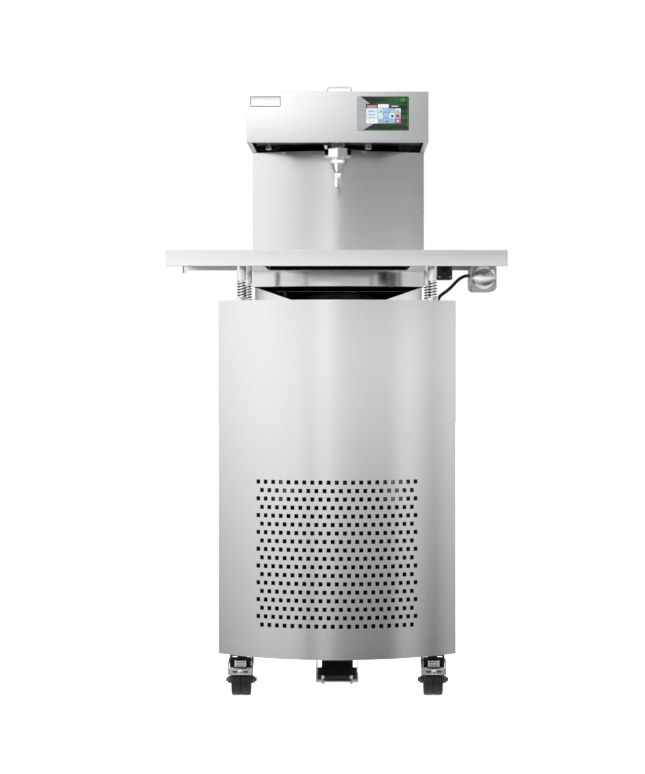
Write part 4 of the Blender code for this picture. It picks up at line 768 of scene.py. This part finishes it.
makeFrontPanel()
for node in ("left_side_panel", "right_side_panel"):
    refine(node, "sideSheet", "stainless_brushed", 0.0008)
refine("rear_panel", "flatSheet", "stainless_brushed", 0.0006)
refine("cabinet_top", "tray", "stainless_brushed", 0.0006)
refine("floor_pan", "flatSheet", "stainless_brushed", 0.0005)
refine("cable_gland", "plastic", "black_plastic", 0.0006)
refine("compressor", "paint", "black_paint", 0)
# condenser fins coloured near black: painted shade inside the cabinet behind the vents
refine("condenser", "fins", "cast_aluminium", 0)
refine("fan_wheel", "plastic", "black_plastic", 0)
refine("control_box", "plastic", "black_plastic", 0.002)
refine("suction_line", "copper", "copper_pipe", 0)
print("cabinet made")

# Small hardware, modelled once and copied

def bowY(x, apexY):
    return apexY + frontPanelSpec["bowRadius"] - math.sqrt(frontPanelSpec["bowRadius"] ** 2 - x * x)


def bowedSheetPoints(halfWidth, frontY, backY, apexY):
    arc = [(halfWidth * (1 - step / 12), bowY(halfWidth * (1 - step / 12), apexY)) for step in range(25)]
    if frontY is None:
        return [(-halfWidth, backY), (halfWidth, backY)] + arc
    return [(-halfWidth, frontY), (halfWidth, frontY)] + arc


def addScrew(name, place, axis, outward, radius=0.0036, height=0.0016):
    socket = radius * 0.45
    profile = [
        (radius, 0.0), (radius, height * 0.35), (radius * 0.8, height * 0.85), (radius * 0.55, height),
        (socket, height), (socket, height * 0.3), (0.0, height * 0.3)
    ]
    screw = turnProfile(name, profile, (0, 0, 0), axis, 12)
    if outward < 0:
        edit(screw)
        bpy.ops.mesh.select_all(action="SELECT")
        flip = {"X": (-1, 1, 1), "Y": (1, -1, 1), "Z": (1, 1, -1)}[axis]
        bpy.ops.transform.resize(value=flip, center_override=(0, 0, 0))
        bpy.ops.mesh.flip_normals()
        endEdit()
    screw.location = place
    settle(screw)
    smoothOff(screw, 40)
    return screw


def addScrews(name, places, axis, outward, body, material, slotName, radius=0.0036, height=0.0016):
    first = addScrew(name, places[0], axis, outward, radius, height)
    others = []
    for number, place in enumerate(places[1:], 2):
        shift = [b - a for a, b in zip(places[0], place)]
        others.append(copyTo(first, f"{name}_{number}", shift))
    if others:
        weldOn(first, *others)
    return finishPiece(first, body, material, slotName)


def addPath(name, points, radius, sides=4):
    clearSelection()
    bpy.ops.curve.primitive_nurbs_path_add(location=(0, 0, 0))
    cable = bpy.context.object
    cable.name = name
    bpy.ops.object.mode_set(mode="EDIT")
    bpy.ops.curve.select_all(action="SELECT")
    bpy.ops.curve.subdivide(number_cuts=1)
    bpy.ops.object.mode_set(mode="OBJECT")
    spline = cable.data.splines[0]
    for point, place in zip(spline.points, points):
        point.co = (*place, 1.0)
    spline.order_u = 4
    spline.resolution_u = 8
    useOnly(cable)
    bpy.ops.object.duplicate(linked=False)
    line = bpy.context.object
    bpy.ops.object.convert(target="MESH")
    centres = [tuple(vert.co) for vert in line.data.vertices]
    bpy.data.objects.remove(line)
    cable.data.bevel_depth = radius
    cable.data.bevel_resolution = sides
    cable.data.use_fill_caps = True
    useOnly(cable)
    bpy.ops.object.convert(target="MESH")
    cable = bpy.context.object
    cable.name = cable.data.name = name
    edit(cable)
    bpy.ops.mesh.select_all(action="SELECT")
    bpy.ops.mesh.remove_doubles(threshold=0.00001)
    bpy.ops.mesh.normals_make_consistent(inside=False)
    endEdit()
    smoothOff(cable, 60)
    return cable, centres


# Back and sides of the cabinet: louvres over the fan's outlet, and the screws of the loose panels

backSpec = {
    "louvreRows": 12,
    "louvreStep": 0.022,
    "lowestLouvre": 0.300,
    "louvreHalf": 0.090,
    "louvreColumns": (-0.115, 0.115),
    "screwInset": 0.018,
    "screwMargin": 0.030,
    "screwRadius": 0.0045,
}


def makeLouvres():
    spec = backSpec
    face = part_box("rear_panel")[1].y
    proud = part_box("cable_gland")[1].y - 0.0002
    x, z, half = spec["louvreColumns"][0], spec["lowestLouvre"], spec["louvreHalf"]
    hood = addOutline(
        "rear_louvres",
        [
            (face + 0.0001, z), (proud, z + 0.0006), (proud, z + 0.0022), (face + 0.0004, z + 0.0110),
            (face + 0.0001, z + 0.0110)
        ],
        x - half, x + half, "X"
    )
    # black blocks in the louvre slots: painted shade for the dark inside behind the louvres
    shadow = addBlock(
        "rear_louvre_slot_shade", (x - half + 0.002, face + 0.00005, z - 0.0030),
        (x + half - 0.002, face + 0.00035, z)
    )
    edit(shadow)
    pick(shadow, "FACE", lambda middle, normal: normal.y > 0.9)
    bpy.ops.mesh.inset(thickness=0.0004)
    bpy.ops.transform.translate(value=(0, -0.0001, 0))
    endEdit()
    for piece, material, slotName in (
        (hood, "flatSheet", "stainless_brushed"), (shadow, "shadeBlack", "black_rubber")
    ):
        copies = []
        for column in spec["louvreColumns"]:
            for row in range(spec["louvreRows"]):
                if column != x or row:
                    copies.append(
                        copyTo(piece, f"{piece.name}_{row}", (column - x, 0, row * spec["louvreStep"]))
                    )
        weldOn(piece, *copies)
        finishPiece(piece, "cabinet", material, slotName)


def makePanelScrews():
    inset, margin, radius = backSpec["screwInset"], backSpec["screwMargin"], backSpec["screwRadius"]
    low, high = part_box("rear_panel")
    heights = (low.z + margin, (low.z + high.z) / 2, high.z - margin)
    places = [(x, high.y, z) for x in (low.x + inset, high.x - inset) for z in heights]
    places += [(0.0, high.y, z) for z in (heights[0], heights[2])]
    addScrews("rear_panel_screw", places, "Y", 1, "cabinet", "zinc", "zinc_plated_steel", radius, 0.0012)
    for side, node in ((-1, "left_side_panel"), (1, "right_side_panel")):
        low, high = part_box(node)
        face = low.x if side < 0 else high.x
        places = [
            (face, y, z) for y in (low.y + margin, high.y - margin) for z in (low.z + margin, high.z - margin)
        ]
        addScrews(node + "_screw", places, "X", side, "cabinet", "zinc", "zinc_plated_steel", radius, 0.0018)
    low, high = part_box("column_shell")
    places = [(x, high.y - 0.0001, z) for x in (low.x + 0.022, high.x - 0.022) for z in (1.07, 1.32)]
    addScrews("column_back_screw", places, "Y", 1, "cabinet", "zinc", "zinc_plated_steel", 0.0040, 0.0016)


makeLouvres()
makePanelScrews()
print("back and sides made")

# Column and what it holds

columnLow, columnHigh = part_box("column_shell")
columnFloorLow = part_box("column_floor")[0]
refine("column_shell", "column", "stainless_brushed", 0.0006, 2, angle=25)
refine("column_floor", "flatSheet", "stainless_brushed", 0)
for node in ("left_support_bracket", "right_support_bracket"):
    refine(node, "bright", "stainless_polished", 0.002, 3)
refine("gearbox_cover", "lacquered", "stainless_polished", 0)
refine("stirrer_gearmotor", "cast", "cast_aluminium", 0)
refine("screw_gearmotor", "cast", "cast_aluminium", 0)
refine("riser_tube", "polished", "stainless_polished", 0)
refine("feed_screw", "polished", "stainless_polished", 0)
refine("bowl", "polished", "stainless_polished", 0)
refine("stirrer", "polished", "stainless_polished", 0.0006)


# near-black sheets under the column's floor and behind its skirt: painted shade, so the gap under the column
# reads dark
def makeShadeSheets():
    under = addOutline(
        "column_floor_shade_sheet",
        bowedSheetPoints(columnHigh.x - 0.004, None, columnHigh.y - 0.006, columnLow.y + 0.0045),
        columnFloorLow.z - 0.0024, columnFloorLow.z - 0.0003, "Z"
    )
    softenEdges(under, 0.0005, 2)
    finishPiece(under, "cabinet", "shadeBlack", "black_rubber")
    behind = addBlock(
        "column_skirt_shade_sheet", (columnLow.x + 0.006, columnHigh.y - 0.0042, columnLow.z + 0.0006),
        (columnHigh.x - 0.006, columnHigh.y - 0.0022, columnFloorLow.z - 0.003)
    )
    softenEdges(behind, 0.0006, 2)
    finishPiece(behind, "cabinet", "shadeBlack", "black_rubber")


makeShadeSheets()
print("column made")

# Head

headLow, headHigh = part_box("head_shell")
refine("head_shell", "flatSheet", "stainless_brushed", 0.0009, 3)
refine("outlet_manifold", "polished", "stainless_polished", 0)
refine("lid", "tray", "stainless_brushed", 0)
refine("switch_frame", "plastic", "black_plastic", 0.0005)
refine("switch_rocker", "plastic", "black_plastic", 0.0005)
refine("union_nut", "polished", "stainless_polished", 0.0012, 3)

headSpec = {
    "plateRise": 0.0140,      # plate under the pipework, above the head's lower edge
    "plateSheet": 0.0015,
    "handleRod": 0.0031,
    "handleCorner": 0.0085,
    "neckHole": 0.0215,
    "standoffs": (("left_standoff", -0.179, -0.004, 0.0080), ("right_standoff", 0.0775, -0.012, 0.0095)),
    "standoffSteps": ((0.7, 0.0005), (1.0, 0.002), (1.0, 0.009), (0.8, 0.0095)),
    "dripSlot": 0.0014,
    "spoutBore": 0.0070,
    "spoutNeck": 0.0187,
    "spoutOutside": (   # radius, height above the tip
        (0.0084, 0.0), (0.0090, 0.0008), (0.0090, 0.0350), (0.0105, 0.0410), (0.0168, 0.0600),
        (0.0182, 0.0618), (0.0185, 0.0690), (0.0165, 0.0700), (0.0165, 0.0712), (0.0187, 0.0724),
    ),
}


def makeHeadFloor():
    low = headLow.z + headSpec["plateRise"]
    half = headHigh.x - 0.0145
    plate = addOutline(
        "head_floor_plate", bowedSheetPoints(half, headLow.y + 0.0145, None, columnLow.y - 0.0012), low,
        low + headSpec["plateSheet"], "Z"
    )
    neckLow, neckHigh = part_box("nozzle")
    middle = (neckLow + neckHigh) / 2
    cutAway(
        plate,
        addRound("neck_hole", (middle.x, middle.y, 0), headSpec["neckHole"], low - 0.01, low + 0.01, "Z", 40)
    )
    smoothOff(plate, 30)
    # the plate is coloured dark grey: painted shade under the head
    finishPiece(plate, "cabinet", "shaded", "stainless_brushed")
    for name, x, y, radius in headSpec["standoffs"]:
        profile = [(radius * share, headLow.z + height) for share, height in headSpec["standoffSteps"]]
        post = turnProfile(name, profile + [(radius * 0.8, low - 0.0002)], (x, y, 0), "Z", 24)
        smoothOff(post, 40)
        finishPiece(post, "cabinet", "polished", "stainless_polished")


def makeNozzle():
    low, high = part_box("nozzle")
    middle = (low + high) / 2
    z = low.z
    bore, neck = headSpec["spoutBore"], headSpec["spoutNeck"]
    profile = [(bore, z)] + [(radius, z + height) for radius, height in headSpec["spoutOutside"]]
    profile += [(neck, high.z), (bore, high.z), (bore, z)]
    nozzle = turnProfile("nozzle_turned", profile, (middle.x, middle.y, 0), "Z", 64, True)
    half = headSpec["dripSlot"] / 2
    slot = addBlock(
        "drip_slot", (middle.x - half, middle.y - 0.030, z - 0.002),
        (middle.x + half, middle.y - 0.0076, z + 0.073)
    )
    cutAway(nozzle, slot)
    smoothOff(nozzle, 30)
    finishPiece(nozzle, "cabinet", "polished", "stainless_polished", "nozzle")


def makeLidHandle():
    low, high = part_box("lid_handle")
    rod, bend = headSpec["handleRod"], headSpec["handleCorner"]
    y = (low.y + high.y) / 2
    left, right = low.x + 0.004, high.x - 0.004
    top = high.z - rod
    clearSelection()
    bpy.ops.mesh.primitive_circle_add(
        vertices=20, radius=rod, location=(left, y, low.z + 0.0006), fill_type="NGON"
    )
    handle = bpy.context.object
    handle.name = handle.data.name = "lid_handle_rod"
    settle(handle)
    edit(handle)
    bpy.ops.mesh.select_all(action="SELECT")
    bpy.ops.mesh.extrude_region_move(TRANSFORM_OT_translate={"value": (0, 0, top - bend - low.z - 0.0006)})
    bpy.ops.mesh.spin(steps=8, angle=-math.pi / 2, center=(left + bend, y, top - bend), axis=(0, 1, 0))
    bpy.ops.mesh.extrude_region_move(TRANSFORM_OT_translate={"value": (right - left - 2 * bend, 0, 0)})
    bpy.ops.mesh.spin(steps=8, angle=-math.pi / 2, center=(right - bend, y, top - bend), axis=(0, 1, 0))
    bpy.ops.mesh.extrude_region_move(TRANSFORM_OT_translate={"value": (0, 0, -(top - bend - low.z - 0.0006))})
    bpy.ops.mesh.select_all(action="SELECT")
    bpy.ops.mesh.remove_doubles(threshold=0.00001)
    bpy.ops.mesh.normals_make_consistent(inside=False)
    endEdit()
    smoothOff(handle, 40)
    finishPiece(handle, "lid", "polished", "stainless_polished", "lid_handle")
    for name, x in (("left_handle_foot", left), ("right_handle_foot", right)):
        foot = turnProfile(
            name,
            [
                (0.0062, low.z + 0.0004), (0.0062, low.z + 0.0016), (0.0050, low.z + 0.0026),
                (rod, low.z + 0.0030)
            ],
            (x, y, 0), "Z", 24
        )
        smoothOff(foot, 40)
        finishPiece(foot, "lid", "polished", "stainless_polished")


makeHeadFloor()
makeNozzle()
makeLidHandle()

displaySpec = {
    "tiles": [   # left, top, right, bottom as shares of the display, then the colour
        ("litPale", 0.171, 0.350, 0.395, 0.680), ("litWhite", 0.171, 0.680, 0.395, 0.794),
        ("litWhite", 0.400, 0.235, 0.610, 0.345), ("litSalmon", 0.190, 0.262, 0.378, 0.345),
        ("litSlate", 0.440, 0.275, 0.595, 0.345), ("litSlate", 0.625, 0.255, 0.830, 0.350),
        ("litPale", 0.400, 0.350, 0.500, 0.480), ("litBlue", 0.505, 0.350, 0.610, 0.480),
        ("litBlue", 0.616, 0.355, 0.728, 0.480), ("litPale", 0.733, 0.355, 0.841, 0.480),
        ("litPale", 0.400, 0.487, 0.500, 0.655), ("litBlue", 0.505, 0.487, 0.610, 0.655),
        ("litPale", 0.616, 0.487, 0.728, 0.655), ("litBlue", 0.733, 0.487, 0.841, 0.655),
        ("litBlue", 0.400, 0.662, 0.500, 0.794), ("litBlue", 0.505, 0.662, 0.610, 0.794),
        ("litCyan", 0.616, 0.662, 0.728, 0.794), ("litPink", 0.733, 0.662, 0.841, 0.794),
        ("litGreen", 0.840, 0.060, 0.925, 0.150),
    ],
    "marks": [
        ("litGrey", 0.215, 0.425, 0.345, 0.450), ("litGrey", 0.215, 0.530, 0.345, 0.548),
        ("litGrey", 0.215, 0.625, 0.345, 0.640), ("litGrey", 0.530, 0.440, 0.560, 0.480),
        ("litSlate", 0.445, 0.430, 0.470, 0.470), ("litSlate", 0.655, 0.545, 0.700, 0.620),
        ("litGrey", 0.520, 0.610, 0.590, 0.640), ("litSalmon", 0.215, 0.720, 0.340, 0.740),
        ("litWhite", 0.660, 0.280, 0.790, 0.300), ("litSalmon", 0.425, 0.700, 0.465, 0.750),
        ("litGreen", 0.545, 0.720, 0.590, 0.770), ("litWhite", 0.770, 0.695, 0.800, 0.755),
    ],
    "dots": [
        ("litYellow", 0.783, 0.450, 0.0042), ("litRed", 0.783, 0.580, 0.0042),
        ("litYellow", 0.672, 0.728, 0.0030)
    ],
}


def makeDisplay():
    bezelLow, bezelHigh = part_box("display_bezel")
    refine("display_bezel", "displayGlass", "black_plastic", 0.0004)
    refine("display_glass", "displayGlass", "display_glass", 0.0003)
    wide, tall = bezelHigh.x - bezelLow.x, bezelHigh.z - bezelLow.z
    front = bezelLow.y

    def across(share):
        return bezelLow.x + wide * share

    def down(share):
        return bezelHigh.z - tall * share

    def addTile(number, colour, left, top, right, bottom, raised):
        tile = addBlock(
            f"tile_{number}", (across(left), front - raised, down(bottom)),
            (across(right), front - raised + 0.00008, down(top))
        )
        tile.data.materials.append(finish[colour])
        return tile

    corner = [
        (0.004, 0.006), (0.060, 0.006), (0.250, 0.215), (0.168, 0.225), (0.168, 0.800), (0.330, 0.800),
        (0.105, 0.994), (0.004, 0.994)
    ]
    picture = addOutline(
        "display_picture", [(across(u), down(v)) for u, v in corner], front - 0.00014, front - 0.00004, "Y"
    )
    picture.data.materials.append(finish["litSilver"])
    parts = [addTile(number, *tile, 0.00022) for number, tile in enumerate(displaySpec["tiles"])]
    parts += [addTile(number + 50, *mark, 0.00034) for number, mark in enumerate(displaySpec["marks"])]
    for number, (colour, u, v, radius) in enumerate(displaySpec["dots"]):
        dot = addRound(
            f"dot_{number}", (across(u), 0, down(v)), radius, front - 0.00036, front - 0.00026, "Y", 20
        )
        dot.data.materials.append(finish[colour])
        parts.append(dot)
    weldOn(picture, *parts)
    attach(picture, "cabinet")


def makeBadge():
    low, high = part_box("badge_plate")
    refine("badge_plate", "castDark", "stainless_polished", 0.0003)
    face = addBlock(
        "badge_face", (low.x + 0.0014, low.y - 0.0003, low.z + 0.0014),
        (high.x - 0.0014, low.y + 0.0004, high.z - 0.0014)
    )
    edit(face)
    pick(face, "FACE", lambda middle, normal: normal.y < -0.9)
    bpy.ops.mesh.inset(thickness=0.0010)
    bpy.ops.transform.translate(value=(0, 0.0002, 0))
    endEdit()
    smoothOff(face, 20)
    finishPiece(face, "cabinet", "flatSheet", "stainless_polished")


makeDisplay()
makeBadge()
print("head made")

# Vibrating table

tableLow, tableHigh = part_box("table_top")
motorLow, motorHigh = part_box("vibration_motor")
boxLow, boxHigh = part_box("terminal_box")
refine("table_top", "tray", "stainless_brushed", 0.0015, 3)
for node in ("left_table_rail", "right_table_rail"):
    refine(node, "tray", "stainless_brushed", 0.0005)
refine("vibration_motor", "cast", "cast_aluminium", 0.0012, 3)
refine("eccentric_weight", "zinc", "zinc_plated_steel", 0.0006)
refine("terminal_box", "plastic", "black_plastic", 0.0006)

springSpec = {"wire": 0.0011, "turns": 5.5}


def makeSpring(node):
    low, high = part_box(node)
    wire = springSpec["wire"]
    middle = (low + high) / 2
    coil = (high.x - low.x) / 2 - wire
    clearSelection()
    bpy.ops.mesh.primitive_circle_add(
        vertices=10, radius=wire, location=(coil, 0, low.z + wire), rotation=(math.pi / 2, 0, 0)
    )
    spring = bpy.context.object
    spring.name = spring.data.name = node + "_coil"
    settle(spring)
    spring.location = (middle.x, middle.y, 0)
    applyModifier(
        spring, "SCREW", axis="Z", angle=2 * math.pi * springSpec["turns"],
        screw_offset=high.z - low.z - 2 * wire, steps=150, render_steps=150, use_smooth_shade=True
    )
    settle(spring)
    edit(spring)
    bpy.ops.mesh.select_mode(type="EDGE")
    bpy.ops.mesh.select_all(action="DESELECT")
    bpy.ops.mesh.select_non_manifold(extend=False)
    bpy.ops.mesh.edge_face_add()
    bpy.ops.mesh.select_all(action="SELECT")
    bpy.ops.mesh.normals_make_consistent(inside=False)
    endEdit()
    smoothOff(spring, 50)
    spring.data.materials.clear()
    spring.data.materials.append(finish["spring"])
    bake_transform(spring)
    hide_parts(node)


for node in ("front_left_spring", "rear_left_spring", "front_right_spring", "rear_right_spring"):
    makeSpring(node)


tableShadeSheetSpec = {
    "half": 0.1755, "sheet": 0.0024, "belowTop": 0.0030, "frontGap": 0.016, "rearGap": 0.0024, "drop": 0.0294
}


def makeTableShadeSheet():
    spec = tableShadeSheetSpec
    under, foot = tableHigh.z - spec["belowTop"], tableHigh.z - spec["drop"]
    front, back = tableLow.y + spec["frontGap"], tableHigh.y - spec["rearGap"]
    inside, lower = back - spec["sheet"], under - spec["sheet"]
    profile = [(front, under), (front, lower), (inside, lower), (inside, foot), (back, foot), (back, under)]
    # near-black sheet inside the table's tray: painted shade under the table top
    shadeBlack = addOutline("table_underside_shade_sheet", profile, -spec["half"], spec["half"], "X")
    softenEdges(shadeBlack, 0.0004, 2)
    smoothOff(shadeBlack, 30)
    finishPiece(shadeBlack, "table", "shadeBlack", "black_rubber")


motorSpec = {
    "capRadius": 0.0290,
    "capDome": (   # radius, depth behind the cap's middle
        (0.0, 0.0), (0.010, 0.0002), (0.018, 0.0009), (0.0232, 0.0020), (0.0258, 0.0036),
        (0.0266, 0.0056), (0.0268, 0.0080), (0.0282, 0.0088), (0.0290, 0.0100),
    ),
    "screwAside": 0.0262,
    "screwRises": (-0.0265, 0.0255),
    "leadRadius": 0.0040,
    "leadStart": (-0.0006, -0.225, -0.0497),   # from the motor's left side and top
    "leadEnd": (0.248, -0.229, 0.0034),        # height over the lowest part of the cabinet's top
}


def makeMotorCap():
    low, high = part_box("motor_end_cap")
    middle = (low + high) / 2
    y, back = low.y, high.y
    profile = [(radius, y + depth) for radius, depth in motorSpec["capDome"]] + [(motorSpec["capRadius"], back)]
    cap = turnProfile("motor_end_cap_domed", profile[::-1], (middle.x, 0, middle.z), "Y", 64)
    smoothOff(cap, 40)
    finishPiece(cap, "table", "bright", "cast_aluminium", "motor_end_cap")
    front = motorLow.y
    aside, rises = motorSpec["screwAside"], motorSpec["screwRises"]
    places = [(middle.x + side * aside, front, middle.z + rise) for side in (-1, 1) for rise in rises]
    addScrews("motor_cover_screw", places, "Y", -1, "table", "zinc", "zinc_plated_steel", 0.0034, 0.0022)


def makeTerminalBoxDetails():
    lid = addBlock(
        "terminal_box_lid", (boxLow.x + 0.0012, boxLow.y - 0.0026, boxLow.z + 0.0012),
        (boxHigh.x - 0.0012, boxLow.y - 0.0002, boxHigh.z - 0.006)
    )
    softenEdges(lid, 0.0007, 2)
    smoothOff(lid, 30)
    finishPiece(lid, "table", "plastic", "black_plastic")
    middleX = (boxLow.x + boxHigh.x) / 2
    places = [
        (middleX + side * 0.0128, boxLow.y - 0.0026, z) for side in (-1, 1)
        for z in (boxLow.z + 0.006, boxHigh.z - 0.011)
    ]
    addScrews("terminal_box_screw", places, "Y", -1, "table", "zinc", "zinc_plated_steel", 0.0022, 0.0012)
    plug = (
        (0.0105, 0.0026), (0.0105, 0.0060), (0.0090, 0.0072), (0.0068, 0.0072), (0.0062, 0.0052), (0.0, 0.0052)
    )
    profile = [(radius, boxLow.y - proud) for radius, proud in plug]
    boss = turnProfile("terminal_box_plug", profile, (middleX, 0, boxLow.z + 0.029), "Y", 32)
    smoothOff(boss, 35)
    finishPiece(boss, "table", "castDark", "black_plastic")


def makeMotorLead():
    inward, y, below = motorSpec["leadStart"]
    z = motorHigh.z + below
    start = (motorLow.x + inward, y, z)
    endX, endY, over = motorSpec["leadEnd"]
    end = (endX, endY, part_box("cabinet_top")[0].z + over)
    points = [
        start, (start[0] - 0.008, y, z), (start[0] - 0.022, -0.226, z - 0.006),
        (0.288, -0.229, z - 0.019), (0.274, -0.231, z - 0.034), (0.261, -0.231, z - 0.043),
        (0.251, -0.230, z - 0.050), (endX, endY, end[2] + 0.006), end,
    ]
    lead, centres = addPath("motor_lead_cable", points, motorSpec["leadRadius"])
    lead.data.materials.clear()
    lead.data.materials.append(finish["lead"])
    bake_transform(lead)
    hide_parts("motor_lead")


makeTableShadeSheet()
makeMotorCap()
makeTerminalBoxDetails()
makeMotorLead()
print("table made")

# Running gear

castorSpec = {
    "tread": 0.0375,
    "half": 0.0230,
    "hub": ((0.0056, 0.0), (0.0130, 0.0), (0.0140, 0.0016), (0.0265, 0.0016), (0.0278, 0.0)),
    "shoulder": ((0.0040, 0.0), (0.0012, 0.0012), (0.0, 0.0040)),   # inward from the tread, depth
}


def makeWheel(node):
    low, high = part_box(node)
    middle = (low + high) / 2
    outer, half = castorSpec["tread"], castorSpec["half"]
    leftHalf = [(radius, depth - half) for radius, depth in castorSpec["hub"]]
    leftHalf += [(outer - inward, depth - half) for inward, depth in castorSpec["shoulder"]]
    leftHalf += [(outer, -0.0018), (outer - 0.0012, -0.0009)]
    profile = leftHalf + [(radius, -along) for radius, along in leftHalf[::-1]] + leftHalf[:1]
    wheel = turnProfile(node + "_tyre", profile, (middle.x, middle.y, middle.z), "X", 64, True)
    smoothOff(wheel, 32)
    finishPiece(wheel, node, "rubber", "black_rubber", node)


for node in ("front_left_wheel", "front_right_wheel", "rear_left_wheel", "rear_right_wheel"):
    makeWheel(node)
for node in (
    "front_left_castor_fork", "front_right_castor_fork", "rear_left_castor_bracket", "rear_right_castor_bracket"
):
    refine(node, "blackZinc", "zinc_plated_steel", 0.0006)
for node in ("front_left_castor_plate", "front_right_castor_plate"):
    refine(node, "castDark", "zinc_plated_steel", 0.0006)
for node in ("front_left_brake_lever", "front_right_brake_lever"):
    refine(node, "zinc", "zinc_plated_steel", 0.0005)


swivelSpec = {
    "cupY": -0.254,
    "cupProfile": [(0.0285, 0.0002), (0.0285, 0.0016)],   # radius, height above the fork
    "cupRim": 0.0265,
    "cupBore": 0.0180,
    "guardFront": -0.3120,
    "guardSheet": 0.0025,
    "guardHalf": 0.0245,
    "guardFoot": 0.0720,
    "forkCrown": 0.0032,
}


def makeSwivelDetails(side):
    spec = swivelSpec
    low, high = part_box(f"front_{side}_castor_fork")
    body = f"front_{side}_castor"
    x, rim, bore = (low.x + high.x) / 2, spec["cupRim"], spec["cupBore"]
    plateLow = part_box(f"front_{side}_castor_plate")[1].z - 0.003
    top = plateLow - 0.0004
    outside = [(radius, high.z + height) for radius, height in spec["cupProfile"]]
    profile = outside + [(rim, top), (bore, top), (bore, outside[0][1]), outside[0]]
    cup = turnProfile(f"front_{side}_swivel_cup", profile, (x, spec["cupY"], 0), "Z", 40, True)
    smoothOff(cup, 35)
    finishPiece(cup, body, "castDark", "zinc_plated_steel")
    half, front = spec["guardHalf"], spec["guardFront"]
    corners = (
        (x - half, front, spec["guardFoot"]), (x + half, front + spec["guardSheet"], high.z - spec["forkCrown"])
    )
    guard = addBlock(f"front_{side}_thread_guard", *corners)
    softenEdges(guard, 0.0006, 2)
    smoothOff(guard, 30)
    finishPiece(guard, body, "castDark", "zinc_plated_steel")


brakeSpec = {
    # the release pad leans back from foot to head, measured from the lever's pin
    "padFoot": (-0.0485, -0.0190),
    "padHead": (-0.0380, 0.0055),
    "padHalf": 0.0128,
    "barHalf": 0.0225,
}


def makeBrakeDetails(side):
    low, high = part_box(f"front_{side}_brake_lever")
    body = f"front_{side}_brake"
    x = (low.x + high.x) / 2
    pinY, pinZ = low.y + 0.049, low.z + 0.028
    foot, head = brakeSpec["padFoot"], brakeSpec["padHead"]
    slope = math.hypot(head[0] - foot[0], head[1] - foot[1])
    out = (-(head[1] - foot[1]) / slope, (head[0] - foot[0]) / slope)

    def onPad(share, raised):
        y = pinY + foot[0] + (head[0] - foot[0]) * share + out[0] * raised
        return (y, pinZ + foot[1] + (head[1] - foot[1]) * share + out[1] * raised)

    def addStrip(name, start, end, under, over, half):
        return addOutline(
            name, [onPad(start, under), onPad(end, under), onPad(end, over), onPad(start, over)], x - half,
            x + half, "X"
        )

    pad = addStrip(f"front_{side}_brake_pad", 0.40, 0.98, 0.0002, 0.0014, brakeSpec["padHalf"])
    softenEdges(pad, 0.0004, 2)
    finishPiece(pad, body, "zinc", "zinc_plated_steel")
    ribs = addStrip(f"front_{side}_brake_ribs", 0.44, 0.52, 0.0013, 0.0020, brakeSpec["padHalf"] - 0.0015)
    softenEdges(ribs, 0.0002, 1)
    step = [0.0] + [b - a for a, b in zip(onPad(0.0, 0.0), onPad(0.16, 0.0))]
    weldOn(ribs, *[copyTo(ribs, f"rib_{number}", [part * number for part in step]) for number in (1, 2, 3)])
    finishPiece(ribs, body, "rubber", "black_rubber")
    sleeve = addStrip(f"front_{side}_brake_sleeve", 0.12, 0.38, 0.0002, 0.0010, brakeSpec["padHalf"] + 0.004)
    finishPiece(sleeve, body, "paint", "black_rubber")
    half, front = brakeSpec["barHalf"], low.y
    backing = addBlock(
        f"front_{side}_brake_bar_back", (x - half + 0.001, front - 0.0009, low.z + 0.0025),
        (x + half - 0.001, front - 0.0001, low.z + 0.0125)
    )
    softenEdges(backing, 0.0003, 1)
    finishPiece(backing, body, "paint", "black_rubber")
    bar = addBlock(
        f"front_{side}_brake_bar", (x - half, front - 0.0022, low.z + 0.0015),
        (x + half, front - 0.0010, low.z + 0.0135)
    )
    for reach in (-1, 1):
        near, far = sorted((x + reach * 0.0070, x + reach * 0.0185))
        cutAway(
            bar, addBlock("brake_slot", (near, front - 0.004, low.z + 0.0055), (far, front, low.z + 0.0095))
        )
    softenEdges(bar, 0.0003, 1)
    smoothOff(bar, 30)
    finishPiece(bar, body, "bright", "zinc_plated_steel")
    boss = turnProfile(
        f"front_{side}_brake_boss",
        [(0.0058, front - 0.0012), (0.0058, front - 0.0034), (0.0048, front - 0.0044), (0.0, front - 0.0048)],
        (x, 0, low.z + 0.0075), "Y", 28
    )
    smoothOff(boss, 35)
    finishPiece(boss, body, "bright", "zinc_plated_steel")


for side in ("left", "right"):
    makeSwivelDetails(side)
    makeBrakeDetails(side)

refine("pedal_bracket", "bright", "stainless_brushed", 0.0004)
refine("pedal_plate", "paint", "black_paint", 0.0005)


pedalSpec = {"capAside": 0.0345, "capHeight": 0.0465, "capRadius": 0.0046, "capProud": 0.0022}


def makePedalScrews():
    spec = pedalSpec
    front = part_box("pedal_bracket")[0].y - 0.0002
    places = [(side * spec["capAside"], front, spec["capHeight"]) for side in (-1, 1)]
    addScrews(
        "pedal_pin_cap", places, "Y", -1, "cabinet", "tray", "zinc_plated_steel", spec["capRadius"],
        spec["capProud"]
    )


makePedalScrews()
print("running gear made")

clearSelection()
